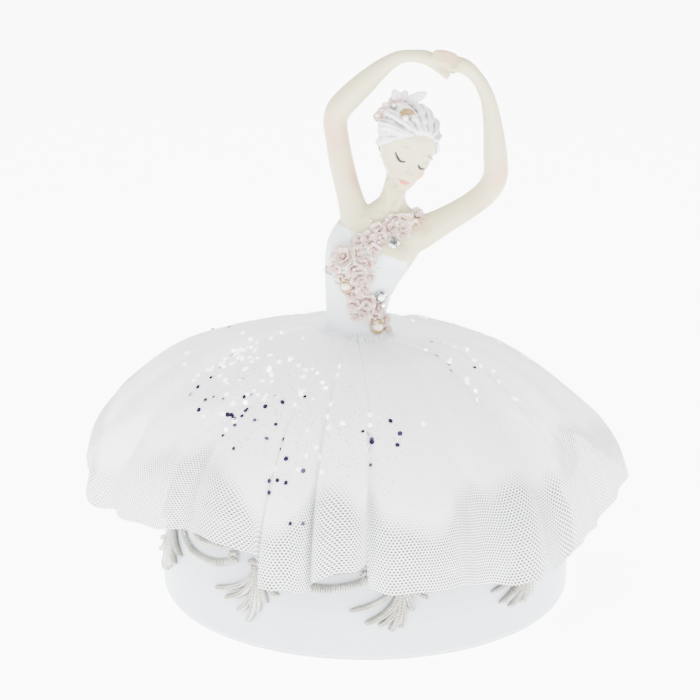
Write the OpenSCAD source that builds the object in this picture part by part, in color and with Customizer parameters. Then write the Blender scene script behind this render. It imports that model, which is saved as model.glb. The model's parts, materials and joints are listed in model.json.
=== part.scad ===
// Ballerina musical jewellery box: a bell-shaped resin box with a lift-off lid that carries
// the half figure and her tulle skirt, and a wind-up musical movement under a false floor.
// Millimetres, +Z up, origin on the box's axis where it stands, the figure faces -Y.

/* [Box] */
// Diameter of the box's foot
base_d = 165; // [150:1:180]
// Height at which the bell starts to curve in
bell_z = 12; // [8:1:16]
// Height from there to the bell's pole
bell_rise = 79; // [77:1:84]
// Height of the seam between box and lid
base_h = 43; // [42.5:0.5:45]
// Thickness of the lid's resin wall
wall = 4; // [3:0.5:5]
// Radius of the jewellery well
well_r = 70; // [68:0.5:71]
// Height of the top of the false floor
floor_z = 31; // [30.5:0.5:33]
// Thickness of the false floor
floor_t = 2.5; // [2:0.5:2.5]

/* [Relief] */
// Number of tassels and swags round the box
repeats = 9; // [7:1:10]
// Angle of the first tassel, from +X
tassel_phase = -82; // [-100:1:-60]
// Radius of the bullion cords
cord_r = 1.1; // [0.8:0.1:1.3]

/* [Skirt] */
// Largest radius of the outer tulle's hem
hem_r = 108; // [100:1:112]
// Height of the outer tulle's hem
hem_z = 36; // [32:1:46]
// Height of the gathered waist
waist_z = 103; // [102:1:104]
// Number of folds in the tulle
folds = 14; // [8:1:18]

/* [Figure] */
// Thickness scale of the arms
arm_scale = 1; // [0.85:0.05:1.1]
// Number of flowers in the sash
sash_flowers = 11; // [7:1:13]

/* [Movement] */
// Height of the pinned cylinder's axis
cylinder_z = 17.5; // [17.5:0.1:18]
// Radius of the pinned cylinder
cylinder_r = 6.5; // [6:0.1:6.5]
// Length of the pinned cylinder
cylinder_len = 20; // [18:0.5:20]
// Number of comb teeth
notes = 18; // [15:1:18]
// Teeth of the crown wheel on the winding arbor
crown_teeth = 48; // [48:1:48]
// Teeth of the cylinder's pinion
pinion_teeth = 12; // [12:1:12]
// Module of the crown wheel and its pinion
crown_module = 0.6; // [0.6:0.1:0.6]
// Teeth of the cylinder's spur wheel
spur_teeth = 36; // [36:1:36]
// Teeth of the governor's pinion
governor_pinion_teeth = 10; // [10:1:10]
// Module of the spur wheel and the governor's pinion
spur_module = 0.4; // [0.4:0.1:0.4]
// Teeth of the worm wheel
worm_wheel_teeth = 20; // [20:1:20]
// Module of the worm wheel
worm_module = 0.5; // [0.5:0.1:0.5]

/* [Hidden] */
$fn = 72;

base_r = base_d / 2;
felt_t = 0.8;
cover_z = 5.6;
cover_t = 2.4;
bed_z = cover_z + cover_t;
bed_t = 1.6;
compartment_r = 73.5;
cover_r = 78;
cover_screw_r = 75.8;
lip_r = well_r - 0.3;
lip_h = 3.5;
ceiling_z = floor_z - floor_t;

crown_r = crown_module * crown_teeth / 2;
pinion_r = crown_module * pinion_teeth / 2;
crown_z = cylinder_z + pinion_r;
spur_r = spur_module * spur_teeth / 2;
governor_pinion_r = spur_module * governor_pinion_teeth / 2;
governor_y = spur_r + governor_pinion_r;
worm_wheel_r = worm_module * worm_wheel_teeth / 2;
worm_r = 1.35;
worm_lead = PI * worm_module;
worm_y = governor_y + worm_wheel_r + worm_r + 0.05;
cylinder_x = 18.5;
spur_x = 39.5;
worm_x = 42.1;
fan_z = 23.2;
fan_r = 4.2;
fan_h = 2.2;
run = 0.05;          // radial running clearance of shafts in their bores
arbor_r = 2;
key_gap = 0.6;       // clearance between the key and the cover
pin_r = 0.8;         // how far the pins stand out of the cylinder

screw_angles = [45, 135, 225, 315];
stop_angle = 20;     // where the stop button comes up beside the well's wall
stop_r = well_r - 1.9;
button_r = 1.2;

gold = "goldenrod";
steel = "silver";
brass = "darkkhaki";
resin = "white";
skin = "antiquewhite";
tulle = "whitesmoke";
champagne = "tan";
blush = "mistyrose";

// ---------- shared shapes ----------

function unit(v) = v / norm(v);
function bell_radius(z, shrink = 0) =
    z <= bell_z ? base_r - shrink
                : (base_r - shrink) * sqrt(max(0, 1 - pow((z - bell_z) / (bell_rise - shrink), 2)));
function on_bell(angle, z, out = 0) =
    let (r = bell_radius(z) + out) [r * cos(angle), r * sin(angle), z];
function tangent(path, i) = unit(path[min(i + 1, len(path) - 1)] - path[max(i - 1, 0)]);
function ellipse_ring(c, t, ref, a, b, n) =
    let (s = unit(cross(t, ref)), u = cross(t, s))
    [for (j = [0:n - 1]) c + s * a * cos(360 * j / n) + u * b * sin(360 * j / n)];
function lerp(a, b, t) = a + (b - a) * t;
function at(table, t) = lookup(t, table);

// Solid through a list of rings, each a list of the same number of points
module loft(rings) {
    n = len(rings[0]);
    m = len(rings);
    polyhedron(
        points = [for (r = rings) each r],
        faces = concat(
            [[for (j = [0:n - 1]) j]],
            [[for (j = [n - 1:-1:0]) (m - 1) * n + j]],
            [for (i = [0:m - 2]) for (j = [0:n - 1]) each [
                [i * n + j, (i + 1) * n + (j + 1) % n, i * n + (j + 1) % n],
                [i * n + j, (i + 1) * n + j, (i + 1) * n + (j + 1) % n]]]));
}

// Ring-shaped solid: the rings go down one face and back up the other
module closed_loft(rings) {
    n = len(rings[0]);
    m = len(rings);
    polyhedron(
        points = [for (r = rings) each r],
        faces = [for (i = [0:m - 1]) for (j = [0:n - 1]) each [
            [i * n + j, ((i + 1) % m) * n + (j + 1) % n, i * n + (j + 1) % n],
            [i * n + j, ((i + 1) % m) * n + j, ((i + 1) % m) * n + (j + 1) % n]]]);
}

// Tube of changing radius along a path; ref is a direction that is never along the path
module tube(path, radii, ref, n = 8, flat = 1) {
    loft([for (i = [0:len(path) - 1])
        ellipse_ring(path[i], tangent(path, i), ref, radii[i], radii[i] * flat, n)]);
}

module at_angles(angles, r, z) {
    for (a = angles) rotate([0, 0, a]) translate([r, 0, z]) children();
}

// Pan-head screw pointing up, its head's underside at z = 0
module screw(head_r, head_h, shank_r, length) {
    translate([0, 0, -head_h]) difference() {
        cylinder(r = head_r, h = head_h);
        translate([-head_r, -0.3, -0.1]) cube([2 * head_r, 0.6, 0.7]);
    }
    cylinder(r = shank_r, h = length);
}

// ---------- gears ----------

function degrees_of(x) = x * 180 / PI;
function involute(angle) = degrees_of(tan(angle)) - angle;
// Half angle of a tooth at radius r, thinned by slack at the pitch circle
function half_tooth(r, pitch_r, teeth, slack) =
    let (rb = pitch_r * cos(20), a = acos(min(1, rb / max(r, rb))))
    90 / teeth - degrees_of(slack / 2 / pitch_r) + involute(20) - involute(a);

module spur_profile(teeth, module_size, slack, addendum = 0.9, dedendum = 1.2) {
    pr = teeth * module_size / 2;
    root = pr - dedendum * module_size;
    tip = pr + addendum * module_size;
    steps = 3;
    radii = concat([root], [for (i = [0:steps]) lerp(max(root + 0.01, pr * cos(20)), tip, i / steps)]);
    polygon([for (k = [0:teeth - 1]) each concat(
        [for (i = [0:len(radii) - 1]) let (a = k * 360 / teeth - half_tooth(radii[i], pr, teeth, slack))
            radii[i] * [cos(a), sin(a)]],
        [for (i = [len(radii) - 1:-1:0]) let (a = k * 360 / teeth + half_tooth(radii[i], pr, teeth, slack))
            radii[i] * [cos(a), sin(a)]])]);
}

// Turns a profile drawn in X-Y so that its axis lies along +X, and sets it at x
module along_x(x, width) {
    translate([x, 0, 0]) rotate([90, 0, 90]) linear_extrude(width) children();
}

module x_rod(x0, x1, y, z, r) {
    translate([x0, y, z]) rotate([0, 90, 0]) cylinder(r = r, h = x1 - x0);
}

// ---------- the box ----------

module box_base() color(resin) difference() {
    rotate_extrude($fn = 144) polygon(concat(
        [[cover_r + 0.3, felt_t], [base_r - 1, felt_t], [base_r - 0.3, felt_t + 0.3], [base_r, felt_t + 1]],
        [for (z = [bell_z:4:base_h]) [bell_radius(z), z]],
        [[well_r, base_h], [well_r, floor_z], [0, floor_z], [0, ceiling_z],
         [compartment_r, ceiling_z], [compartment_r, bed_z], [cover_r + 0.3, bed_z]]));
    at_angles(screw_angles, cover_screw_r, bed_z - 0.1) cylinder(r = 1.3, h = 10);
    rotate([0, 0, stop_angle]) translate([stop_r, 0, ceiling_z - 1])
        cylinder(r = button_r + run, h = floor_t + 2);
}

module bottom_cover() color("gray") difference() {
    translate([0, 0, cover_z]) cylinder(r = cover_r, h = cover_t, $fn = 144);
    translate([0, 0, cover_z - 1]) cylinder(r = 3.2, h = cover_t + 2);
    at_angles(screw_angles, cover_screw_r, cover_z - 1) cylinder(r = 1.5, h = cover_t + 2);
    movement_screw_places(cover_z - 1) cylinder(r = 1.6, h = cover_t + 2);
    at_angles([for (k = [0:5]) 210 + 12 * k], 52, cover_z - 1) cylinder(r = 2.5, h = cover_t + 2);
}

module cover_screws() color(steel)
    at_angles(screw_angles, cover_screw_r, cover_z) screw(2.3, 1.4, 1.25, 11);

module foot_felt() color("beige") rotate_extrude($fn = 144)
    translate([cover_r + 0.8, 0]) square([base_r - cover_r - 1.6, felt_t]);

module well_floor_pad() color("white") difference() {
    translate([0, 0, floor_z]) cylinder(r = well_r - 1.2, h = 1.2, $fn = 144);
    rotate([0, 0, stop_angle]) translate([stop_r, 0, floor_z - 1]) cylinder(r = 2.2, h = 4);
}

module well_wall_lining() color("white") difference() {
    rotate_extrude($fn = 144) translate([well_r - 1, floor_z]) square([1, base_h - lip_h - floor_z - 0.5]);
    rotate([0, 0, stop_angle]) translate([stop_r, 0, floor_z - 1]) cylinder(r = 2.2, h = base_h);
}

// ---------- raised trim of the box ----------

function swag(k, z_end, sag, inset, steps = 10) = [for (i = [0:steps])
    let (u = i / steps, a = tassel_phase + 360 / repeats * (k + inset + (1 - 2 * inset) * u))
    on_bell(a, z_end - sag * 4 * u * (1 - u), cord_r * 0.55)];

module garland(z_end, sag, inset, r) {
    for (k = [0:repeats - 1]) {
        path = swag(k, z_end, sag, inset);
        middle = path[floor(len(path) / 2)];
        tube(path, [for (i = [0:len(path) - 1]) r * (0.55 + 0.45 * sin(180 * i / (len(path) - 1)))],
             [middle[0], middle[1], 0], 6);
    }
}

module upper_garland() color(champagne) garland(base_h - 2.6, 6, 0.08, cord_r);
module lower_garland() color(champagne) garland(34, 5.5, 0.12, cord_r);

tassel_top_z = 33.5;
tassel_fingers = [-13, -7.5, -2.5, 3.5, 9];
tassel_lengths = [17, 20, 25, 24, 18];

function finger(centre_angle, spread, length) = [for (i = [0:4])
    let (u = i / 4)
    on_bell(centre_angle + spread * (0.12 + 0.88 * pow(u, 1.3)), tassel_top_z - length * u, cord_r * 0.5)];

module tassels() color(champagne)
    for (k = [0:repeats - 1]) for (f = [0:len(tassel_fingers) - 1]) {
        a = tassel_phase + 360 / repeats * k;
        tube(finger(a, tassel_fingers[f], tassel_lengths[f]), [0.9, 1.0, 1.3, 1.5, 0.7],
             [cos(a), sin(a), 0], 6);
        tube([for (dz = [1.6, 0.4, -1, -2.4]) on_bell(a, tassel_top_z + dz, 0.6)],
             [0.9, 2, 2.2, 1.5], [cos(a), sin(a), 0], 8);
    }

// ---------- the musical movement ----------

module movement_screw_places(z) {
    for (p = [[-10.5, 10.5], [-10.5, -10.5], [47, -10]]) translate([p[0], p[1], z]) children();
}

module bedplate() color("gray") difference() {
    union() {
        translate([-14, -14, bed_z]) cube([64, 36, bed_t]);
        translate([cylinder_x - 1, -32, bed_z]) cube([cylinder_len + 2, 18.1, bed_t]);
        translate([cylinder_x - 0.5, -31, bed_z]) cube([cylinder_len + 1, 8, cylinder_z - bed_z - 0.9]);
    }
    translate([0, 0, bed_z - 1]) cylinder(r = arbor_r + run, h = bed_t + 2);
    movement_screw_places(bed_z - 1) cylinder(r = 1.25 + run, h = bed_t + 2);
    comb_screw_places(cylinder_z - 5) cylinder(r = 0.9 + run, h = 6);
    translate([worm_x, worm_y, bed_z - 1]) cylinder(r = 0.5 + run, h = bed_t + 2);
}

module movement_screws() color(steel)
    movement_screw_places(cover_z) screw(2.2, 1.2, 1.25, cover_t + bed_t + 0.4);

module spring_barrel() color(brass) translate([0, 0, bed_z + bed_t]) difference() {
    cylinder(r = 11.5, h = 10.2);
    translate([0, 0, 0.6]) cylinder(r = 10.9, h = 8.9);
    translate([0, 0, -1]) cylinder(r = arbor_r + run, h = 12);
}

spring_turns = 6;
function spiral(angle, side) = (3 + 7.4 * angle / (360 * spring_turns) + side) * [cos(angle), sin(angle)];
module mainspring() color(steel) translate([0, 0, bed_z + bed_t + 1.1]) linear_extrude(7.8)
    polygon(concat(
        [for (a = [0:20:360 * spring_turns]) spiral(a, 0.18)],
        [for (a = [360 * spring_turns:-20:0]) spiral(a, -0.18)]));

comb_pitch = cylinder_len / (notes + 1);
comb_tip_y = -(cylinder_r + pin_r + 0.1);
module comb_screw_places(z) {
    for (f = [0.2, 0.8]) translate([cylinder_x + cylinder_len * f, -28.4, z]) children();
}

module comb() color("lightgray") difference() {
    translate([0, 0, cylinder_z - 0.9]) linear_extrude(0.8) union() {
        translate([cylinder_x, -31]) square([cylinder_len, 8]);
        for (i = [1:notes]) {
            reach = lerp(15.4, 9, i / notes);
            translate([cylinder_x + comb_pitch * i - 0.36, comb_tip_y - reach - 0.2])
                square([0.72, reach + 0.2]);
            translate([cylinder_x + comb_pitch * i - 0.5, -23.1])
                square([1, comb_tip_y - reach + 23.1]);
        }
    }
    comb_screw_places(cylinder_z - 2) cylinder(r = 1, h = 4);
}

module comb_screws() color(steel)
    comb_screw_places(cylinder_z - 0.1) mirror([0, 0, 1]) screw(1.7, 1, 0.9, 4.4);

module cylinder_posts() color("gray") for (x = [16, 41.5]) difference() {
    translate([x, -2.6, bed_z + bed_t]) cube([1.4, 5.2, cylinder_z - bed_z - bed_t + 2.2]);
    x_rod(x - 1, x + 3, 0, cylinder_z, 1 + run);
}

module governor_frame() color("gray") difference() {
    union() {
        translate([37.3, 8, bed_z + bed_t]) cube([1.2, 12, 11.6]);
        translate([44.4, 5, bed_z + bed_t]) cube([1.2, 15, 11.6]);
        translate([37.3, 13.2, 21.2]) cube([8.3, 5, 1.2]);
    }
    x_rod(36, 47, governor_y, cylinder_z, 0.6 + run);
    translate([worm_x, worm_y, 20]) cylinder(r = 0.5 + run, h = 4);
}

module winding_arbor() color(steel)
    translate([0, 0, 1.6]) cylinder(r = arbor_r, h = crown_z + 3.6 - 1.6);

module crown_wheel() color(brass) difference() {
    union() {
        translate([0, 0, crown_z + 0.6]) cylinder(r = crown_r + 1, h = 1.5);
        translate([0, 0, crown_z - 0.2]) cylinder(r = 4, h = 1);
        for (k = [0:crown_teeth - 1]) rotate([0, 0, (k + 0.5) * 360 / crown_teeth])
            translate([crown_r - 0.8, 0, crown_z + 0.61]) rotate([90, 0, 90]) linear_extrude(1.6)
                polygon([[-0.52, 0], [-0.14, -1.1], [0.14, -1.1], [0.52, 0]]);
    }
    translate([0, 0, crown_z - 1]) cylinder(r = arbor_r, h = 5);
}

// Butterfly key with two loops, threaded on the arbor's end
module winding_key() color(steel) difference() {
    union() {
        translate([0, 0, 1.2]) cylinder(r = 3.1, h = cover_z - key_gap - 1.2);
        translate([0, 0, 1.2]) linear_extrude(2.6) for (s = [-1, 1]) difference() {
            hull() {
                translate([s * 3, 0]) circle(r = 1.8, $fn = 32);
                translate([s * 11.5, 0]) circle(r = 4.2, $fn = 32);
            }
            translate([s * 11.3, 0]) circle(r = 2.2, $fn = 32);
        }
    }
    translate([0, 0, 1.6]) cylinder(r = arbor_r, h = 8);
}

module pinned_cylinder() color(brass) {
    difference() {
        x_rod(cylinder_x, cylinder_x + cylinder_len, 0, cylinder_z, cylinder_r);
        x_rod(cylinder_x - 1, cylinder_x + cylinder_len + 1, 0, cylinder_z, 1);
    }
    for (i = [1:notes]) for (j = [0:2])
        translate([cylinder_x + comb_pitch * i, 0, cylinder_z])
            rotate([(i * 67 + j * 121 + i * i * 11) % 360, 0, 0])
                translate([0, 0, cylinder_r - 0.2]) cylinder(r = 0.18, h = pin_r + 0.2, $fn = 6);
}

module cylinder_arbor() color(steel) x_rod(13.4, 43.6, 0, cylinder_z, 1);

module cylinder_pinion() color(brass) translate([0, 0, cylinder_z]) difference() {
    along_x(crown_r - 0.9, 1.8) spur_profile(pinion_teeth, crown_module, 0.25, 0.85, 1.15);
    x_rod(crown_r - 2, crown_r + 2, 0, 0, 1);
}

module cylinder_wheel() color("ivory") translate([0, 0, cylinder_z]) difference() {
    along_x(spur_x, 1.2) spur_profile(spur_teeth, spur_module, 0.16);
    x_rod(spur_x - 1, spur_x + 3, 0, 0, 1);
}

module governor_arbor() color(steel) x_rod(37, 46, governor_y, cylinder_z, 0.6);

module governor_pinion() color(brass) translate([0, governor_y, cylinder_z]) difference() {
    along_x(spur_x, 1.2) rotate(180 / governor_pinion_teeth)
        spur_profile(governor_pinion_teeth, spur_module, 0.16, 0.85, 1.1);
    x_rod(spur_x - 1, spur_x + 3, 0, 0, 0.6);
}

module worm_wheel() color("ivory") translate([0, governor_y, cylinder_z]) difference() {
    along_x(worm_x - 0.4, 0.8) union() {
        circle(r = worm_wheel_r - 0.75);
        for (k = [0:worm_wheel_teeth - 1]) rotate(k * 360 / worm_wheel_teeth)
            polygon([[worm_wheel_r - 1.2, -0.34], [worm_wheel_r, -0.22], [worm_wheel_r + 0.3, -0.1],
                     [worm_wheel_r + 0.3, 0.1], [worm_wheel_r, 0.22], [worm_wheel_r - 1.2, 0.34]]);
    }
    x_rod(worm_x - 2, worm_x + 2, 0, 0, 0.6);
}

worm_len = 3.5 * worm_lead;
module governor_worm() color(steel) translate([worm_x, worm_y, 0]) {
    translate([0, 0, bed_z + 0.2]) cylinder(r = 0.5, h = cylinder_z - worm_len / 2 - bed_z);
    translate([0, 0, cylinder_z + worm_len / 2 - 0.2])
        cylinder(r = 0.5, h = fan_z + fan_h - cylinder_z - worm_len / 2 + 0.4);
    translate([0, 0, cylinder_z - worm_len / 2])
        linear_extrude(worm_len, twist = -360 * worm_len / worm_lead, slices = 36, $fn = 14)
            rotate(90 - 360 * (worm_len / 2) / worm_lead) translate([0.42, 0]) circle(r = worm_r, $fn = 14);
}

module fan_brake() color("ivory") translate([worm_x, worm_y, fan_z]) difference() {
    union() {
        cylinder(r = 1.2, h = fan_h);
        translate([-fan_r, -0.2, 0]) cube([2 * fan_r, 0.4, fan_h]);
    }
    translate([0, 0, -1]) cylinder(r = 0.5, h = fan_h + 2);
}

stop_x = stop_r * cos(stop_angle);
stop_y = stop_r * sin(stop_angle);
stop_tip_x = worm_x + fan_r + 0.9;

// Vertical wire beside the well's wall, with an arm that reaches to the fan
module stop_wire() color(steel) {
    translate([stop_x, stop_y, fan_z + 0.3]) cylinder(r = 0.8, h = base_h - lip_h - 1.6 - fan_z);
    arm = [stop_tip_x - stop_x, worm_y - stop_y];
    translate([stop_x, stop_y, fan_z + 0.9]) rotate([0, 90, atan2(arm[1], arm[0])])
        cylinder(r = 0.5, h = norm(arm));
}

module stop_button() color(resin) difference() {
    translate([stop_x, stop_y, ceiling_z - 1.5])
        cylinder(r = button_r, h = base_h - lip_h - ceiling_z + 1.4);
    translate([stop_x, stop_y, ceiling_z - 3])
        cylinder(r = 0.8, h = base_h - lip_h - 1.3 - ceiling_z + 3);
}

// ---------- the lid ----------

collar_z = bell_z + bell_rise;
collar_r = 15;

module lid_bell() color(resin) difference() {
    rotate_extrude($fn = 144) polygon(concat(
        [[lip_r - 2.6, base_h - lip_h], [lip_r, base_h - lip_h], [lip_r, base_h]],
        [for (z = [base_h:4:collar_z - 2]) [bell_radius(z), z]],
        [[collar_r, collar_z - 0.8], [collar_r, collar_z]],
        [[0, collar_z], [0, collar_z - wall], [6, collar_z - wall]],
        [for (z = [collar_z - wall - 2:-4:base_h + 3]) [bell_radius(z, wall), z]],
        [[lip_r - 2.6, base_h + 1.5]]));
    translate([0, 0, collar_z - 2 * wall]) cylinder(r = 2.2, h = 3 * wall);
}

module lid_lining() color("white") rotate_extrude($fn = 96) polygon(concat(
    [for (z = [base_h + 6:4:collar_z - wall - 8]) [bell_radius(z, wall + 0.15), z]],
    [for (z = [collar_z - wall - 8:-4:base_h + 6]) [bell_radius(z, wall + 0.95), z]]));

// Palmette of five leaves above the middle of each swag
module lace_motifs() color(champagne)
    for (k = [0:repeats - 1]) for (f = [-2:2]) {
        a = tassel_phase + 360 / repeats * (k + 0.5);
        path = [for (i = [0:4]) let (u = i / 4)
            on_bell(a + f * 4.2 * pow(u, 0.8), base_h + 2.2 + (15 - abs(f) * 3.2) * u, cord_r * 0.5)];
        tube(path, [0.7, 1.2, 1.4, 1.2, 0.4], [cos(a), sin(a), 0.3], 6);
    }

// ---------- the tulle skirt ----------

outer_r = [[0, 15.6], [0.12, 30], [0.3, 52], [0.5, 74], [0.66, 90], [0.82, 102], [1, hem_r]];
outer_z = [[0, waist_z], [0.12, waist_z + 3], [0.3, waist_z + 0.5], [0.5, waist_z - 9],
           [0.66, waist_z - 24], [0.82, waist_z - 44], [1, hem_z]];
inner_r = [[0, 15.4], [0.12, 28], [0.3, 46], [0.5, 64], [0.66, 77], [0.82, 86], [1, 90]];
inner_z = [[0, waist_z - 1.6], [0.12, waist_z - 1.4], [0.3, waist_z - 5], [0.5, waist_z - 14],
           [0.66, waist_z - 28], [0.82, waist_z - 46], [1, hem_z + 3]];

function fold(t, a, depth) = 1 + depth * t * t * (cos(folds * a) - 1);
function skirt_ring(rs, zs, t, depth, lower, n) = [for (j = [0:n - 1])
    let (a = 360 * j / n)
    let (r = at(rs, t) * fold(t, a, depth) - lower * t, z = at(zs, t) - lower * (1 - 0.6 * t))
    [r * cos(a), r * sin(a), z]];

module skirt(rs, zs, depth, thick) {
    steps = 8;
    n = 70;
    closed_loft(concat(
        [for (i = [steps:-1:0]) skirt_ring(rs, zs, i / steps, depth, 0, n)],
        [for (i = [0:steps]) skirt_ring(rs, zs, i / steps, depth, thick, n)]));
}

module skirt_outer() color(tulle) skirt(outer_r, outer_z, 0.03, 0.6);
module skirt_underlayer() color(tulle) skirt(inner_r, inner_z, 0.012, 0.6);

module waist_ribbon() color(tulle) difference() {
    translate([-2.6, 0, waist_z - 1.4]) cylinder(r = 15.2, h = 3.4);
    translate([-2.6, 0, waist_z - 3]) linear_extrude(8) scale([1, 0.8]) circle(r = 13.9);
}

// ---------- the figure ----------

// Height, centre x, centre y, half width, half depth
torso_sections = [
    [collar_z, -2, 0, 11, 9], [97, -2.5, 0, 12.6, 10], [102, -3.2, 0, 12.6, 9.6], [107, -3.5, 0, 12.2, 9],
    [113, -3.6, -0.2, 12.2, 8.8], [119, -3.0, -0.5, 12.8, 9.1], [126, -1.5, -1, 14.6, 10],
    [133, 0.6, -1.4, 17, 10.8], [140, 2.6, -1.2, 19, 10.4], [146, 4.4, -0.4, 19, 9],
    [151, 5.6, 0.3, 16.8, 7.6], [155, 7.2, 0.6, 12.2, 6.6], [158, 9, 0.4, 7.2, 5.6],
    [162, 10.9, -0.4, 5, 4.9], [168, 12.8, -1.6, 4.7, 4.8]];

module figure_torso() color(skin) difference() {
    loft([for (s = torso_sections) [for (j = [0:23])
        [s[1] + s[3] * cos(15 * j), s[2] + s[4] * sin(15 * j), s[0]]]]);
    translate([0, 0, collar_z - 1]) cylinder(r = 1.3, h = 11);
}

module figure_screw() color(steel)
    translate([0, 0, collar_z - wall]) screw(3.4, 1.8, 1.25, 13);

// Ovoid head, tilted towards +X and nodding towards -Y: height, radius and forward lean of each ring
head_rings = [[-16.2, 2.4, -2.2], [-14.4, 5, -2], [-11, 7.4, -1.5], [-6, 9.4, -0.8], [0, 10.6, -0.4],
              [6, 11, 0], [10, 10.2, 0], [13.6, 7.6, 0], [16, 3, 0]];
module on_head() { translate([14.8, -2.2, 180.6]) rotate([12, 13, 0]) children(); }
module ovoid(grow, back) {
    loft([for (s = head_rings) let (r = s[1] + grow) [for (j = [0:19])
        [r * cos(18 * j), 1.05 * r * sin(18 * j) + s[2] + back, s[0] * (1 + grow / 18)]]]);
}

module figure_head() color(skin) on_head() ovoid(0, 0);

// Swept-back hair: a cap round the skull with a low chignon, open over the face
module figure_hair() color("gainsboro") on_head() difference() {
    union() {
        ovoid(1.6, 0.9);
        translate([0, 12.4, -3]) rotate([-25, 0, 0])
            loft([for (s = [[-5.5, 2.4], [-3.4, 5], [0, 6.2], [3.4, 5], [5.5, 2.4]]) [for (j = [0:13])
                [s[1] * cos(360 * j / 14), 0.8 * s[1] * sin(360 * j / 14), s[0]]]]);
    }
    ovoid(0.02, 0);
    rotate([-24, 0, 0]) translate([-20, -32, -34]) cube([40, 30, 41]);
    translate([-20, -20, -30]) cube([40, 26, 22]);
}

right_arm_path = [
    [-2.5, 0.5, 146], [-4.6, 0.8, 153.5], [-6, 1, 160], [-8.6, 1.6, 169.5], [-10.8, 2, 180],
    [-12, 1.6, 188], [-11.2, 0.6, 194], [-7.6, -0.8, 199.6], [-2, -2.4, 205.6], [4.1, -4, 211.6],
    [9.5, -5.2, 216.2], [14, -6, 218.4], [20, -6.8, 218.2], [26, -7.4, 216.6], [29.8, -7.6, 213.6]];
right_arm_radii = [6.2, 6, 5.3, 4.8, 4.5, 4.5, 4.9, 4.9, 4.4, 3.4, 2.4, 2.2, 2.6, 2.4, 1.4];
left_arm_path = [
    [15, 0.5, 144], [22.5, 0.6, 146.6], [29.5, 0.8, 150.4], [37, 1.2, 154.8], [43.6, 1.6, 159.4],
    [49, 1.2, 164.4], [50.9, 0.4, 170.6], [49.9, -1, 181.8], [48.2, -3, 194.2], [45.6, -4.8, 203.8],
    [40.6, -6.2, 212], [35, -7.2, 216], [29, -9.2, 219.2], [24, -10.4, 219.6]];
left_arm_radii = [7, 6.4, 5.4, 4.9, 4.6, 4.7, 4.9, 4.3, 3.3, 2.7, 2.6, 2.7, 2.2, 1.3];

module right_arm() color(skin) tube(right_arm_path, arm_scale * right_arm_radii, [0, 1, 0], 12);
module left_arm() color(skin) tube(left_arm_path, arm_scale * left_arm_radii, [0, 1, 0], 12);

// Sash of flowers from her left shoulder, round the right breast, down to the left of the waist
sash = [[24, -7, 150], [18, -8.6, 147], [11, -9.6, 143.6], [3, -11, 142], [-5.4, -11.4, 140.4],
        [-9.8, -11.6, 135], [-7.4, -12.2, 129.4], [-3.4, -11.8, 125], [-3, -11, 119.6],
        [0.8, -10.2, 114.4], [5.4, -9.4, 109.4], [7.4, -8.4, 105.6], [-11, -9.4, 129]];

// Five-petalled flower, its back on the XY plane
module blossom(size) {
    linear_extrude(0.45 * size, scale = 0.8) {
        circle(r = 0.5 * size, $fn = 12);
        for (a = [0:72:288]) rotate(a) translate([0.56 * size, 0]) circle(r = 0.42 * size, $fn = 12);
    }
}

module sash_flowers_group() color(blush)
    for (i = [0:sash_flowers - 1]) translate(sash[i]) rotate([90, 0, 40 * i]) blossom(i % 3 == 0 ? 4 : 3.2);

module sash_rhinestones() color(steel)
    for (p = [[14.4, -10.4, 138.4], [-13.6, -10.2, 133.6], [6.4, -10.6, 120], [5.6, -9.6, 124.4]])
        translate(p) rotate([90, 0, 0]) cylinder(r1 = 1.9, r2 = 1.1, h = 1.4, $fn = 8);

module gold_roses() color(gold)
    for (p = [[-9.8, -11.6, 127.6], [1.6, -11.2, 104.8]])
        translate(p) rotate([90, 0, 0]) cylinder(r1 = 2.6, r2 = 1.7, h = 2.2, $fn = 10);

module hair_flowers() color(blush)
    for (p = [[7.2, -6, 195.4, 2.6], [12, -7, 200, 3.2], [4.2, -3, 192.6, 2.2], [15.6, -7.4, 198.4, 2]])
        translate([p[0], p[1], p[2]]) rotate([60, -20, 0]) blossom(p[3]);

module hair_ribbon() color("lavenderblush") for (s = [-1, 1])
    translate([14.6 + 3 * s, -5 + s, 202.2 + 1.4 * s]) rotate([0, -28, 12 * s])
        linear_extrude(1.1) hull() {
            circle(r = 1.1, $fn = 16);
            translate([4.2 * s, 0]) circle(r = 1.9, $fn = 16);
        }

box_base();
bottom_cover();
cover_screws();
foot_felt();
well_floor_pad();
well_wall_lining();
upper_garland();
lower_garland();
tassels();
bedplate();
movement_screws();
spring_barrel();
mainspring();
comb();
comb_screws();
cylinder_posts();
governor_frame();
winding_arbor();
crown_wheel();
winding_key();
pinned_cylinder();
cylinder_arbor();
cylinder_pinion();
cylinder_wheel();
governor_arbor();
governor_pinion();
worm_wheel();
governor_worm();
fan_brake();
stop_wire();
stop_button();
lid_bell();
lid_lining();
lace_motifs();
skirt_underlayer();
skirt_outer();
waist_ribbon();
figure_screw();
figure_torso();
figure_head();
figure_hair();
right_arm();
left_arm();
sash_flowers_group();
sash_rhinestones();
gold_roses();
hair_flowers();
hair_ribbon();
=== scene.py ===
"""Looks of the ballerina jewellery box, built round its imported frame.

Lengths inside the classes are millimetres in the box's own frame: +Z up, the dancer faces -Y.
"""

import json
import logging
import math
import random
from dataclasses import dataclass, field
from enum import Enum
from typing import Callable, Iterable, Sequence

import bmesh
import bpy
from mathutils import Matrix, Vector, noise
from mathutils.bvhtree import BVHTree


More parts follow.
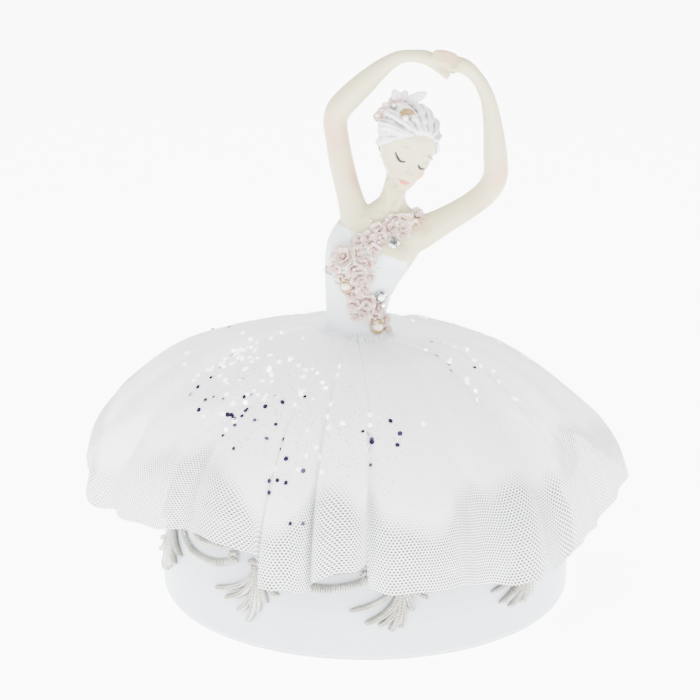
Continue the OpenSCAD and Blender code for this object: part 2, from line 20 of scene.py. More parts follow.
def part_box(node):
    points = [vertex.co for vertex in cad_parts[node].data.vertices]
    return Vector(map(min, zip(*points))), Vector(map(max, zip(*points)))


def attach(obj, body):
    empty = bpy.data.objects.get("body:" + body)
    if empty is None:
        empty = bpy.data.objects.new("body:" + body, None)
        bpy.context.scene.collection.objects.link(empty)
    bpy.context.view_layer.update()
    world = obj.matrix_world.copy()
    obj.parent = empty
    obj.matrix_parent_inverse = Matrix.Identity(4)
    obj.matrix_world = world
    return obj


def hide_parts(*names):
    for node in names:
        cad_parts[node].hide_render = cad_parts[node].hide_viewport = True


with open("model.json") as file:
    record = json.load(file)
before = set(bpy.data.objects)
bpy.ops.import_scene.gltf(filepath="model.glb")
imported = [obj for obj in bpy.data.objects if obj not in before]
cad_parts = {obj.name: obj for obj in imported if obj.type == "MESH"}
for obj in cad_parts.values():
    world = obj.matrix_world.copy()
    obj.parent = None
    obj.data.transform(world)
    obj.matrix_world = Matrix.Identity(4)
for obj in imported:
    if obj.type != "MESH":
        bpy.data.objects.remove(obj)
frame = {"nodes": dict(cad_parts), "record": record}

MM = 0.001
TAU = 2 * math.pi
FOOT_BAND = 12.0  # height of the box's upright band, above which it curves in
SKIN_DEPTH = (0.004, 0.002, 0.0015)  # how far red, green and blue light enters a soft finish, in metres
GRAIN_DEPTH = 0.0004  # height of a finish's grain, in metres
LOG = logging.getLogger("ballerina_box")
Path = list[Vector]
Socket = bpy.types.NodeSocket
Value = Socket | float | tuple[float, ...]


# ---------------------------------------------------------------- mesh helpers

def unit(x: float) -> float:
    """Keeps a number within 0 and 1."""
    return max(0.0, min(1.0, x))


def arch(x: float) -> float:
    """A smooth hump: 0 at 0, 1 halfway, and 0 again from 1 on."""
    return math.sin(math.pi * min(1.0, x))


def smooth_path(points: Sequence[Sequence[float]], count: int) -> Path:
    """Runs a smooth curve through given points.

    Args:
        points: The points, each with the same number of coordinates, at least three.
        count: How many samples to return.

    Returns:
        The samples as vectors, spread evenly over the spans.
    """
    keys = [Vector(p) for p in points]
    out = []
    for i in range(count):
        x = i / (count - 1) * (len(keys) - 1)
        k = min(int(x), len(keys) - 2)
        u = x - k
        a, b = keys[max(k - 1, 0)], keys[k]
        c, d = keys[k + 1], keys[min(k + 2, len(keys) - 1)]
        out.append(0.5 * (2 * b + (c - a) * u + (2 * a - 5 * b + 4 * c - d) * u * u
                          + (3 * b - a - 3 * c + d) * u ** 3))
    return out


def blend_keys(keys: Sequence[tuple[float, ...]], x: float) -> list[float]:
    """Reads a keyed row of numbers at x, easing between the keys.

    Args:
        keys: Rows whose first number is the key, in rising order.
        x: Where to read.

    Returns:
        The other numbers of the row, blended.
    """
    if x <= keys[0][0]:
        return list(keys[0][1:])
    for low, high in zip(keys, keys[1:]):
        if x <= high[0]:
            u = (x - low[0]) / (high[0] - low[0])
            u = u * u * (3 - 2 * u)
            return [a + (b - a) * u for a, b in zip(low[1:], high[1:])]
    return list(keys[-1][1:])


def glide_keys(keys: Sequence[tuple[float, ...]], x: float) -> list[float]:
    """Reads a keyed row of numbers at x on a curve that runs straight through the keys.

    Args:
        keys: Rows whose first number is the key, in rising order.
        x: Where to read, within the keys.

    Returns:
        The other numbers of the row.
    """
    k = 0
    while k < len(keys) - 2 and x > keys[k + 1][0]:
        k += 1
    low, high = keys[k], keys[k + 1]
    before, after = keys[max(k - 1, 0)], keys[min(k + 2, len(keys) - 1)]
    span = high[0] - low[0]
    u = (x - low[0]) / span
    out = []
    for i in range(1, len(low)):
        start = (high[i] - before[i]) / (high[0] - before[0]) * span
        end = (after[i] - low[i]) / (after[0] - low[0]) * span
        rise = high[i] - low[i]
        out.append(low[i] + u * start + u * u * (3 * rise - 2 * start - end)
                   + u ** 3 * (start + end - 2 * rise))
    return out


def aim(direction: Vector) -> Matrix:
    """Turns local +Z to a direction, with local +Y as near to upright as it can be.

    Args:
        direction: Where local +Z goes.

    Returns:
        The rotation.
    """
    z = direction.normalized()
    x = Vector((0, 0, 1)).cross(z)
    x = x.normalized() if x.length > 1e-6 else Vector((1, 0, 0))
    return Matrix((x, z.cross(x), z)).transposed().to_4x4()


def add_ring(bm: bmesh.types.BMesh, matrix: Matrix, segments: int) -> list[bmesh.types.BMEdge]:
    """Adds a unit circle placed by a matrix and returns its edges."""
    made = bmesh.ops.create_circle(bm, cap_ends=False, radius=1, segments=segments, matrix=matrix)
    return list({e for v in made["verts"] for e in v.link_edges})


def loft(bm: bmesh.types.BMesh, matrices: Sequence[Matrix], segments: int = 24) -> None:
    """Bridges a closed skin over rings and caps its ends.

    Args:
        bm: The mesh to add to.
        matrices: One matrix a ring, each placing a unit circle.
        segments: Corners on each ring.
    """
    rings = [add_ring(bm, m, segments) for m in matrices]
    for low, high in zip(rings, rings[1:]):
        bmesh.ops.bridge_loops(bm, edges=low + high)
    for end in (rings[0], rings[-1]):
        bmesh.ops.holes_fill(bm, edges=end, sides=0)


def oval(x: float, y: float, z: float, wide: float, deep: float) -> Matrix:
    """Places a level ring by its centre and half widths."""
    return Matrix.Translation((x, y, z)) @ Matrix.Diagonal((wide, deep, 1, 1))


def add_ball(bm: bmesh.types.BMesh, centre: Sequence[float], size: Sequence[float],
             turn: Matrix = Matrix.Identity(4), detail: int = 16) -> None:
    """Adds an ellipsoid of half sizes at a centre."""
    matrix = Matrix.Translation(centre) @ turn @ Matrix.Diagonal((*size, 1))
    bmesh.ops.create_uvsphere(bm, u_segments=detail, v_segments=max(6, detail // 2), radius=1, matrix=matrix)


def linked(name: str, data: bpy.types.ID) -> bpy.types.Object:
    """Puts data in the scene as an object at the origin.

    Args:
        name: The object's name.
        data: A mesh, curve, light or camera.

    Returns:
        The object.
    """
    made = bpy.data.objects.new(name, data)
    bpy.context.scene.collection.objects.link(made)
    return made


def evaluated_mesh(holder: bpy.types.Object) -> bpy.types.Mesh:
    """A new mesh of an object with its modifiers or bevel applied."""
    return bpy.data.meshes.new_from_object(holder.evaluated_get(bpy.context.evaluated_depsgraph_get()))


def sweep(bm: bmesh.types.BMesh, strands: Iterable[tuple[Sequence[Vector], Sequence[float]]],
          sides: int = 8) -> None:
    """Adds round strands along paths.

    Args:
        bm: The mesh to add to.
        strands: Pairs of a path and the strand's radius at each of its points.
        sides: Corners round a strand, even.
    """
    curve = bpy.data.curves.new("strands", "CURVE")
    curve.dimensions = "3D"
    curve.bevel_depth = 1
    curve.bevel_resolution = max(0, sides // 2 - 2)
    curve.use_fill_caps = True
    for path, radii in strands:
        spline = curve.splines.new("POLY")
        spline.points.add(len(path) - 1)
        for point, place, radius in zip(spline.points, path, radii):
            point.co = (*place, 1)
            point.radius = radius
    holder = linked("strands", curve)
    mesh = evaluated_mesh(holder)
    bm.from_mesh(mesh)
    bpy.data.objects.remove(holder)
    bpy.data.curves.remove(curve)
    bpy.data.meshes.remove(mesh)


def limb(bm: bmesh.types.BMesh, keys: Sequence[Sequence[float]], count: int, sides: int) -> None:
    """Adds one round form along keyed places and radii.

    Args:
        bm: The mesh to add to.
        keys: Rows of a place and the radius there.
        count: Samples along it.
        sides: Corners round it, even.
    """
    samples = smooth_path(keys, count)
    sweep(bm, [([Vector(s[:3]) for s in samples], [s[3] for s in samples])], sides)


def coil(path: Sequence[Vector], outward: Callable[[Vector], Vector], radius: Callable[[float], float],
         pitch: float, steps: int = 9) -> Path:
    """Winds a thread round a path, as on bullion cord.

    Args:
        path: The cord's middle line.
        outward: Gives the direction away from the box at a point.
        radius: The winding's radius at a share of the length.
        pitch: Distance from one turn to the next.
        steps: Points a turn.

    Returns:
        The thread's middle line.
    """
    lengths = [0.0]
    for a, b in zip(path, path[1:]):
        lengths.append(lengths[-1] + (b - a).length)
    total = lengths[-1]
    count = max(12, int(total / pitch * steps))
    thread, k = [], 0
    for i in range(count + 1):
        s = total * i / count
        while k < len(path) - 2 and lengths[k + 1] < s:
            k += 1
        u = (s - lengths[k]) / max(lengths[k + 1] - lengths[k], 1e-9)
        centre = path[k].lerp(path[k + 1], u)
        along = (path[k + 1] - path[k]).normalized()
        out = outward(centre)
        side = along.cross(out).normalized()
        turn = TAU * i / steps
        thread.append(centre + radius(s / total) * (side * math.cos(turn) + out * math.sin(turn)))
    return thread


def remeshed(bm: bmesh.types.BMesh, voxel: float, passes: int) -> bmesh.types.BMesh:
    """Fuses everything in a mesh into one skin, as a cast piece is.

    Args:
        bm: The overlapping closed forms; it is freed.
        voxel: The new skin's cell size.
        passes: Smoothing passes afterwards.

    Returns:
        The fused skin.
    """
    mesh = bpy.data.meshes.new("fused")
    bm.to_mesh(mesh)
    bm.free()
    holder = linked("fused", mesh)
    change = holder.modifiers.new("fuse", "REMESH")
    change.mode = "VOXEL"
    change.voxel_size = voxel
    fused = evaluated_mesh(holder)
    out = bmesh.new()
    out.from_mesh(fused)
    for _ in range(passes):
        bmesh.ops.smooth_vert(out, verts=out.verts, factor=0.5,
                              use_axis_x=True, use_axis_y=True, use_axis_z=True)
    bpy.data.objects.remove(holder)
    bpy.data.meshes.remove(mesh)
    bpy.data.meshes.remove(fused)
    return out


def mark(bm: bmesh.types.BMesh, name: str, value: Callable[[Vector], float]) -> None:
    """Stores a number from 0 to 1 on every vertex for a finish to read.

    Args:
        bm: The mesh.
        name: The attribute's name.
        value: Gives the number at a point.
    """
    layer = bm.verts.layers.float.new(name)
    for v in bm.verts:
        v[layer] = unit(value(v.co))


def near(point: Vector, centre: Sequence[float], reach: float) -> float:
    """1 at a centre, falling smoothly to 0 at its reach."""
    d = (point - Vector(centre)).length / reach
    return max(0.0, 1 - d * d) ** 2


@dataclass
class Piece:
    """One finished piece: where it rides, what it stands for and how it is finished."""

    name: str
    body: str
    slot: str
    finish: "Finish"
    replaces: tuple[str, ...] = ()
    smooth: bool = True

    def build(self, bm: bmesh.types.BMesh) -> bpy.types.Object:
        """Turns a millimetre mesh into the finished object.

        Args:
            bm: The piece's mesh; it is freed.

        Returns:
            The object, riding on its body.
        """
        bmesh.ops.recalc_face_normals(bm, faces=bm.faces)
        bmesh.ops.scale(bm, vec=(MM, MM, MM), verts=bm.verts)
        for face in bm.faces:
            face.smooth = self.smooth
        mesh = bpy.data.meshes.new(self.name)
        bm.to_mesh(mesh)
        bm.free()
        piece = linked(self.name, mesh)
        mesh.materials.append(self.finish.material())
        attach(piece, self.body)
        if self.replaces:
            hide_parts(*self.replaces)
        LOG.info("%s: %d faces on %s", self.name, len(mesh.polygons), self.body)
        return piece


# ---------------------------------------------------------------- finishes

class Graph:
    """Adds and links nodes in one node tree."""

    def __init__(self, tree: bpy.types.NodeTree) -> None:
        """Keeps the tree to draw in."""
        self.tree = tree

    def add(self, kind: str, inputs: dict[str | int, Value] | None = None,
            **settings: object) -> bpy.types.Node:
        """Adds a node, sets its properties and fills or links its inputs.

        Args:
            kind: The node's type name without its ShaderNode prefix, or a full one.
            inputs: Input name or number to a value or an output socket.
            **settings: Properties of the node.

        Returns:
            The node.
        """
        node = self.tree.nodes.new(kind if kind.startswith("Node") else "ShaderNode" + kind)
        for name, value in settings.items():
            setattr(node, name, value)
        for name, value in (inputs or {}).items():
            self.put(node.inputs[name], value)
        return node

    def put(self, socket: Socket, value: Value) -> None:
        """Links an output to an input, or sets the input's value.

        Args:
            socket: The input.
            value: The output to link, or the value to set.
        """
        if isinstance(value, Socket):
            self.tree.links.new(value, socket)
        else:
            socket.default_value = value

    def math(self, operation: str, a: Value, b: Value = 0.0, clamp: bool = False) -> Socket:
        """Adds a Math node and returns its value."""
        node = self.add("Math", {0: a, 1: b}, operation=operation, use_clamp=clamp)
        return node.outputs[0]

    def mix(self, factor: Value, a: Value, b: Value, how: str = "MIX") -> Socket:
        """Adds a colour Mix node.

        Args:
            factor: The second colour's share.
            a: The first colour.
            b: The second colour.
            how: The blend type.

        Returns:
            The mixed colour.
        """
        node = self.add("Mix", data_type="RGBA", blend_type=how)
        for socket, value in ((node.inputs[0], factor), (node.inputs[6], a), (node.inputs[7], b)):
            self.put(socket, value)
        return node.outputs[2]

    def span(self, value: Value, low: float, high: float, out_low: float = 0.0,
             out_high: float = 1.0) -> Socket:
        """Maps a range of a value to another range and clamps it."""
        node = self.add("MapRange", {0: value, 1: low, 2: high, 3: out_low, 4: out_high})
        return node.outputs[0]

    def attribute(self, name: str) -> Socket:
        """Reads a number stored on the piece."""
        return self.add("Attribute", attribute_name=name).outputs["Fac"]

    def patchy(self, where: Value, scale: float, detail: float) -> Socket:
        """Adds a Noise texture and returns its value."""
        return self.add("TexNoise", {"Vector": where, "Scale": scale, "Detail": detail}).outputs[0]


def group(name: str, inputs: dict[str, float], outputs: dict[str, str],
          draw: Callable[[Graph, bpy.types.NodeOutputs, bpy.types.NodeInputs], None],
          ) -> bpy.types.ShaderNodeTree:
    """Makes a shared shader group once.

    Args:
        name: The group's name.
        inputs: Float inputs with their usual values, beside a Vector input.
        outputs: Output names to socket kinds, Float, Color or Vector.
        draw: Draws the group from its graph, its input sockets and its output sockets.

    Returns:
        The group's tree.
    """
    if name in bpy.data.node_groups:
        return bpy.data.node_groups[name]
    tree = bpy.data.node_groups.new(name, "ShaderNodeTree")
    tree.interface.new_socket("Vector", in_out="INPUT", socket_type="NodeSocketVector")
    for label, usual in inputs.items():
        tree.interface.new_socket(label, in_out="INPUT", socket_type="NodeSocketFloat").default_value = usual
    for label, kind in outputs.items():
        tree.interface.new_socket(label, in_out="OUTPUT", socket_type="NodeSocket" + kind)
    graph = Graph(tree)
    source, sink = graph.add("NodeGroupInput"), graph.add("NodeGroupOutput")
    draw(graph, source.outputs, sink.inputs)
    return tree


def draw_grain(g: Graph, given: bpy.types.NodeOutputs, out: bpy.types.NodeInputs) -> None:
    """Fine uneven grain: a height and a slow tone change.

    Args:
        g: The group's graph.
        given: The group's input values.
        out: The group's outputs to fill.
    """
    fine = g.add("TexNoise", {"Vector": given["Vector"], "Scale": given["Scale"], "Detail": 4.0})
    coarse = g.math("MULTIPLY", given["Scale"], 0.07)
    slow = g.add("TexNoise", {"Vector": given["Vector"], "Scale": coarse, "Detail": 2.0})
    g.put(out["Height"], fine.outputs[0])
    g.put(out["Tone"], g.span(slow.outputs[0], 0.3, 0.7))


def draw_net(g: Graph, given: bpy.types.NodeOutputs, out: bpy.types.NodeInputs) -> None:
    """Hexagonal net: three plane waves at 120 degrees leave round holes in a honeycomb of thread.

    Args:
        g: The group's graph.
        given: The group's input values.
        out: The group's outputs to fill.
    """
    split = g.add("SeparateXYZ", {0: given["Vector"]})
    wobble = g.patchy(given["Vector"], 60.0, 1.0)
    wave = g.math("DIVIDE", 4 * math.pi / math.sqrt(3), given["Pitch"])
    x = g.math("MULTIPLY", g.math("MULTIPLY", split.outputs[0], wave), math.sqrt(3) / 2)
    y = g.math("MULTIPLY", split.outputs[1], wave)
    half = g.math("MULTIPLY", y, 0.5)
    a = g.math("COSINE", y)
    b = g.math("COSINE", g.math("SUBTRACT", x, half))
    c = g.math("COSINE", g.math("ADD", x, half))
    total = g.math("ADD", g.math("ADD", a, b), c)
    edge = g.math("ADD", given["Thread"], g.math("MULTIPLY", g.math("SUBTRACT", wobble, 0.5), 0.8))
    hole = g.math("MULTIPLY", g.math("SUBTRACT", total, edge), 1.6, clamp=True)
    g.put(out["Mask"], g.math("SUBTRACT", 1.0, hole))


def draw_sparkle(g: Graph, given: bpy.types.NodeOutputs, out: bpy.types.NodeInputs) -> None:
    """Scattered tiny flecks, each cell a fleck or nothing.

    Args:
        g: The group's graph.
        given: The group's input values.
        out: The group's outputs to fill.
    """
    cells = g.add("TexVoronoi", {"Vector": given["Vector"], "Scale": given["Scale"]})
    chance = g.add("SeparateColor", {0: cells.outputs["Color"]}).outputs[0]
    kept = g.math("LESS_THAN", chance, given["Amount"])
    spot = g.math("LESS_THAN", cells.outputs["Distance"], 0.32)
    g.put(out["Fleck"], g.math("MULTIPLY", kept, spot))
    g.put(out["Tint"], g.add("SeparateColor", {0: cells.outputs["Color"]}).outputs[1])


def grain_group() -> bpy.types.ShaderNodeTree:
    """The shared grain group."""
    return group("fine_grain", {"Scale": 400.0}, {"Height": "Float", "Tone": "Float"}, draw_grain)


def net_group() -> bpy.types.ShaderNodeTree:
    """The shared net group."""
    return group("hex_net", {"Pitch": 1.6, "Thread": 0.0}, {"Mask": "Float"}, draw_net)


def sparkle_group() -> bpy.types.ShaderNodeTree:
    """The shared glitter group."""
    return group("glitter", {"Scale": 900.0, "Amount": 0.1}, {"Fleck": "Float", "Tint": "Float"},
                 draw_sparkle)


@dataclass(frozen=True)
class Finish:
    """A finish with grain: the base of the others.

    Colours are linear red, green and blue.
    """

    name: str
    colour: tuple[float, float, float]
    roughness: float = 0.5
    metallic: float = 0.0
    tone: float = 0.06
    grain: float = 400.0
    bump: float = 0.05
    coat: float = 0.0
    sheen: float = 0.0
    soft: float = 0.0
    specular: float = 0.5
    glow: float = 0.0

    def material(self) -> bpy.types.Material:
        """Makes the material once.

        Returns:
            The material.
        """
        if self.name in bpy.data.materials:
            return bpy.data.materials[self.name]
        made = bpy.data.materials.new(self.name)
        made.use_nodes = True
        made.node_tree.nodes.clear()
        g = Graph(made.node_tree)
        shader = g.add("BsdfPrincipled")
        out = g.add("OutputMaterial")
        g.put(out.inputs["Surface"], shader.outputs[0])
        for socket, value in (("Metallic", self.metallic), ("Coat Weight", self.coat),
                              ("Coat Roughness", 0.2), ("Sheen Weight", self.sheen),
                              ("Subsurface Weight", self.soft),
                              ("Specular IOR Level", self.specular), ("Emission Strength", self.glow),
                              ("Emission Color", (1, 1, 1, 1))):
            shader.inputs[socket].default_value = value
        shader.inputs["Subsurface Radius"].default_value = SKIN_DEPTH
        self.draw(g, shader)
        return made

    def place(self, g: Graph) -> Socket:
        """The coordinates that the finish is drawn in, in metres."""
        return g.add("TexCoord").outputs["Object"]

    def grained(self, g: Graph, shader: bpy.types.Node, colour: Value) -> None:
        """Links colour, roughness and normal with the shared grain.

        Args:
            g: The material's graph.
            shader: Its Principled shader.
            colour: The colour before the grain, a value or an output.
        """
        grain = g.add("Group", {"Vector": self.place(g), "Scale": self.grain}, node_tree=grain_group())
        tone = g.span(grain.outputs["Tone"], 0, 1, 1 - self.tone, 1)
        grey = g.add("CombineColor", {0: tone, 1: tone, 2: tone}).outputs[0]
        g.put(shader.inputs["Base Color"], g.mix(1.0, colour, grey, "MULTIPLY"))
        g.put(shader.inputs["Roughness"],
              g.span(grain.outputs["Tone"], 0, 1, self.roughness - 0.05, self.roughness + 0.06))
        bump = g.add("Bump", {"Strength": self.bump, "Distance": GRAIN_DEPTH,
                              "Height": grain.outputs["Height"]})
        g.put(shader.inputs["Normal"], bump.outputs[0])

    def draw(self, g: Graph, shader: bpy.types.Node) -> None:
        """Draws the finish."""
        self.grained(g, shader, (*self.colour, 1))


@dataclass(frozen=True)
class Skin(Finish):
    """Tinted cast resin: ivory skin, blushed where marked, darkened by painted shade where marked, and the
    painted bodice.
    """

    blush: tuple[float, float, float] = (0.64, 0.32, 0.22)
    bodice: tuple[float, float, float] = (0.74, 0.78, 0.81)
    # colour of the painted shade beside the nose, under the chin and arms and at the hand
    shade: tuple[float, float, float] = (0.33, 0.23, 0.12)

    def draw(self, g: Graph, shader: bpy.types.Node) -> None:
        """Mixes blush, painted shade and bodice over the ivory.

        Args:
            g: The material's graph.
            shader: Its Principled shader.
        """
        colour = g.mix(g.attribute("blush"), (*self.colour, 1), (*self.blush, 1))
        # painted shade darkens the marked places
        colour = g.mix(g.attribute("shade"), colour, (*self.shade, 1))
        colour = g.mix(g.attribute("bodice"), colour, (*self.bodice, 1))
        self.grained(g, shader, colour)


@dataclass(frozen=True)
class Hair(Finish):
    """White painted hair, with painted shade darkening its grooves."""

    # colour of the painted shade in the hair's grooves
    wash: tuple[float, float, float] = (0.07, 0.07, 0.08)

    def draw(self, g: Graph, shader: bpy.types.Node) -> None:
        """Darkens the marked grooves unevenly with painted shade.

        Args:
            g: The material's graph.
            shader: Its Principled shader.
        """
        patchy = g.patchy(self.place(g), 260.0, 3.0)
        # painted shade in the grooves, uneven
        depth = g.math("MULTIPLY", g.attribute("groove"), g.span(patchy, 0.42, 0.58, 0.12, 1.0))
        self.grained(g, shader, g.mix(depth, (*self.colour, 1), (*self.wash, 1)))


@dataclass(frozen=True)
class Petal(Finish):
    """Cast petals: blush pink from the heart, paler and pearly at the rim."""

    rim: tuple[float, float, float] = (0.84, 0.77, 0.73)
    deep: tuple[float, float, float] = (0.22, 0.10, 0.08)

    def draw(self, g: Graph, shader: bpy.types.Node) -> None:
        """Runs from deep in the heart to the rim, with patches of pearl.

        Args:
            g: The material's graph.
            shader: Its Principled shader.
        """
        patchy = g.patchy(self.place(g), 170.0, 2.0)
        pearl = g.math("MULTIPLY", g.span(patchy, 0.5, 0.66), 0.4)
        rim = g.math("MAXIMUM", g.span(g.attribute("rim"), 0.55, 1.0), pearl)
        colour = g.mix(rim, (*self.colour, 1), (*self.rim, 1))
        heart = g.span(g.attribute("rim"), 0.0, 0.3, 0.9, 0.0)
        self.grained(g, shader, g.mix(heart, colour, (*self.deep, 1)))


@dataclass(frozen=True)
class Bullion(Finish):
    """Champagne metal thread: worn silver in patches, dark painted shade in its creases, glitter all over."""

    crest: tuple[float, float, float] = (0.66, 0.65, 0.62)
    # colour of the painted shade at the leaves' edges and grooves
    wash: tuple[float, float, float] = (0.10, 0.095, 0.07)

    def draw(self, g: Graph, shader: bpy.types.Node) -> None:
        """Mixes silver patches, bright flecks and painted shade in the creases over champagne.

        Args:
            g: The material's graph.
            shader: Its Principled shader.
        """
        where = self.place(g)
        patchy = g.patchy(where, 120.0, 3.0)
        fleck = g.add("Group", {"Vector": where, "Scale": 1700.0, "Amount": 0.35},
                      node_tree=sparkle_group())
        colour = g.mix(g.span(patchy, 0.4, 0.65), (*self.colour, 1), (*self.crest, 1))
        colour = g.mix(g.math("MULTIPLY", fleck.outputs["Fleck"], 0.8), colour, (0.95, 0.94, 0.92, 1))
        # painted shade at the marked edges and grooves
        colour = g.mix(g.math("MULTIPLY", g.attribute("wash"), 0.8), colour, (*self.wash, 1))
        self.grained(g, shader, colour)
        g.put(shader.inputs["Roughness"], g.span(fleck.outputs["Tint"], 0, 1, 0.25, 0.6))


@dataclass(frozen=True)
class Tulle(Finish):
    """Sheer hexagonal net, with painted shade in its holes towards the hem and fine silver glitter, painted
    as white glints and shaded flecks, where it is marked.
    """

    pitch: float = 1.6
    thread: float = 0.0
    haze: float = 0.3
    thick: float = 0.82
    cover: float = 0.95
    # colour of the painted shade in the holes where the net is open
    gap_tone: tuple[float, float, float] = (0.05, 0.055, 0.045)
    # colour of the flecks painted as turned away from the light
    dull_fleck: tuple[float, float, float] = (0.16, 0.16, 0.22)

    def draw(self, g: Graph, shader: bpy.types.Node) -> None:
        """Opens the net's holes, fills them with painted shade towards the hem and lays glitter on the
        thread.

        Args:
            g: The material's graph.
            shader: Its Principled shader.
        """
        flat = g.add("UVMap").outputs[0]
        net = g.add("Group", {"Vector": flat, "Pitch": self.pitch, "Thread": self.thread},
                    node_tree=net_group())
        fleck = g.add("Group", {"Vector": flat, "Scale": 0.95, "Amount": 0.28}, node_tree=sparkle_group())
        glitter = g.math("MULTIPLY", fleck.outputs["Fleck"], g.attribute("glitter"))
        self.grained(g, shader, (*self.colour, 1))
        # painted glints: the brighter half of the flecks white, the rest painted shaded
        bright = g.math("GREATER_THAN", fleck.outputs["Tint"], 0.5)
        silver = g.mix(bright, (*self.dull_fleck, 1), (1, 1, 1, 1))
        base = shader.inputs["Base Color"].links[0].from_socket
        hazy = g.span(g.attribute("dense"), 0, 1, self.haze, self.thick)
        # painted shade in the holes towards the hem, where the net is not dense
        shadow = g.mix(g.attribute("dense"), (*self.gap_tone, 1), (*self.colour, 1))
        g.put(shader.inputs["Base Color"], g.mix(g.math("MAXIMUM", net.outputs["Mask"], glitter), shadow,
                                                 g.mix(glitter, base, silver)))
        room = g.math("SUBTRACT", self.cover, hazy)
        veil = g.math("ADD", hazy, g.math("MULTIPLY", net.outputs["Mask"], room))
        g.put(shader.inputs["Alpha"], g.math("MAXIMUM", veil, glitter))


class Finishes:
    """Every finish on the box, by the record's slot or by its piece."""

    resin = Finish("resin_satin", (0.52, 0.57, 0.61), 0.36, tone=0.03, grain=900, bump=0.06, coat=0.15)
    cover = Finish("cover_matt", (0.62, 0.62, 0.63), 0.6, tone=0.05, grain=1500, bump=0.2)
    steel = Finish("steel_satin", (0.55, 0.55, 0.57), 0.3, metallic=1, grain=700, bump=0.08)
    felt = Finish("foot_felt_wool", (0.72, 0.71, 0.68), 0.95, tone=0.2, grain=2500, bump=0.8, sheen=0.4)
    velvet = Finish("lining_velvet", (0.78, 0.76, 0.78), 0.85, tone=0.12, grain=3000, bump=0.6, sheen=0.8)
    zinc = Finish("movement_zinc", (0.42, 0.43, 0.45), 0.45, metallic=0.9, tone=0.12, grain=1200, bump=0.3)
    brass = Finish("turned_brass", (0.72, 0.52, 0.22), 0.28, metallic=1, grain=800, bump=0.06)
    spring_steel = Finish("ground_steel", (0.36, 0.38, 0.42), 0.25, metallic=1, grain=1500, bump=0.1)
    nylon = Finish("nylon_natural", (0.80, 0.77, 0.68), 0.45, soft=0.1, grain=900, bump=0.05)
    relief = Bullion("bullion_champagne", (0.44, 0.43, 0.36), 0.45, metallic=0.25, tone=0.2, grain=1800,
                     bump=0.3)
    tulle = Tulle("tulle_outer", (0.93, 0.94, 0.95), 0.7, tone=0.0, grain=1.0, bump=0.0, pitch=1.5,
                  thread=-0.3, haze=0.8, thick=0.82)
    tulle_inner = Tulle("tulle_inner", (0.93, 0.94, 0.97), 0.7, tone=0.0, grain=1.0, bump=0.0, pitch=1.65,
                        thread=0.1, haze=0.2, thick=0.85)
    satin = Finish("waist_tulle_bunched", (0.86, 0.88, 0.90), 0.55, tone=0.06, grain=1500, bump=0.4,
                   sheen=0.3)
    porcelain = Skin("figure_ivory", (0.56, 0.51, 0.32), 0.42, tone=0.03, grain=500, bump=0.03, soft=0.08)
    hair = Hair("hair_white_shaded_grooves", (0.82, 0.82, 0.84), 0.4, tone=0.05, grain=900, bump=0.1)
    petal = Petal("petal_blush", (0.72, 0.52, 0.45), 0.4, tone=0.08, grain=900, bump=0.15, coat=0.2)
    pearl_white = Finish("pearl_white", (0.88, 0.83, 0.72), 0.2, tone=0.05, grain=600, bump=0.02, coat=0.6)
    rhinestone = Finish("rhinestone_silver", (0.86, 0.88, 0.88), 0.06, metallic=1, tone=0.85,
                        grain=12000, bump=0)
    gold = Finish("gilt_rim", (0.48, 0.33, 0.15), 0.28, metallic=0.9, tone=0.15, grain=900, bump=0.1)
    ribbon = Finish("ribbon_lavender", (0.78, 0.76, 0.80), 0.45, tone=0.05, grain=900, bump=0.15, sheen=0.3)
    lips = Finish("lips_coral", (0.60, 0.13, 0.11), 0.35, tone=0.05, grain=900, bump=0.03)
    lash = Finish("lash_umber", (0.012, 0.008, 0.008), 0.4, tone=0.0, grain=900, bump=0.0)
    brow = Finish("brow_taupe", (0.34, 0.29, 0.22), 0.5, tone=0.0, grain=900, bump=0.0)
    # painted dark reflection: sequins turned away from the light
    sequin_dark = Finish("sequin_plum_dark_reflection", (0.035, 0.02, 0.07), 0.15, metallic=0.7, tone=0.3, grain=300, bump=0)
    # painted glint: white sequins that glow
    sequin_light = Finish("sequin_white_glint", (0.95, 0.95, 0.97), 0.12, metallic=0.3, tone=0.05, grain=300,
                          bump=0, glow=3.0)
    floor = Finish("studio_floor", (0.94, 0.94, 0.94), 0.8, tone=0.0, grain=3.0, bump=0.0, glow=8.0)

    @classmethod
    def for_slot(cls, slot: str) -> Finish:
        """The finish that carries the record's slot name."""
        return getattr(cls, slot)


# ---------------------------------------------------------------- the box's surface

@dataclass(frozen=True)
class Bell:
    """The bell shape of the box, as the frame gives it."""

    foot: float
    curve_from: float
    rise: float

    @classmethod
    def from_frame(cls) -> "Bell":
        """Reads the bell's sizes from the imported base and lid.

        Returns:
            The bell.
        """
        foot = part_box("box_base")[1].x / MM
        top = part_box("lid_bell")[1].z / MM
        return cls(foot, FOOT_BAND, top - FOOT_BAND)

    def radius(self, z: float) -> float:
        """The bell's radius at a height.

        Args:
            z: The height.

        Returns:
            The radius.
        """
        if z <= self.curve_from:
            return self.foot
        share = min(1.0, (z - self.curve_from) / self.rise)
        return self.foot * math.sqrt(1 - share * share)

    def at(self, azimuth: float, z: float, out: float = 0.0) -> Vector:
        """A point on the bell.

        Args:
            azimuth: Degrees from the front towards +X.
            z: The height.
            out: Distance off the surface.

        Returns:
            The point.
        """
        a = math.radians(azimuth)
        r = self.radius(z) + out
        return Vector((r * math.sin(a), -r * math.cos(a), z))

    def outward(self, point: Vector) -> Vector:
        """The direction straight out of the bell.

        Args:
            point: A point on or near the bell.

        Returns:
            The direction.
        """
        slope = self.radius(point.z - 0.5) - self.radius(point.z + 0.5)
        flat = Vector((point.x, point.y, 0)).normalized()
        return (flat + Vector((0, 0, slope))).normalized()


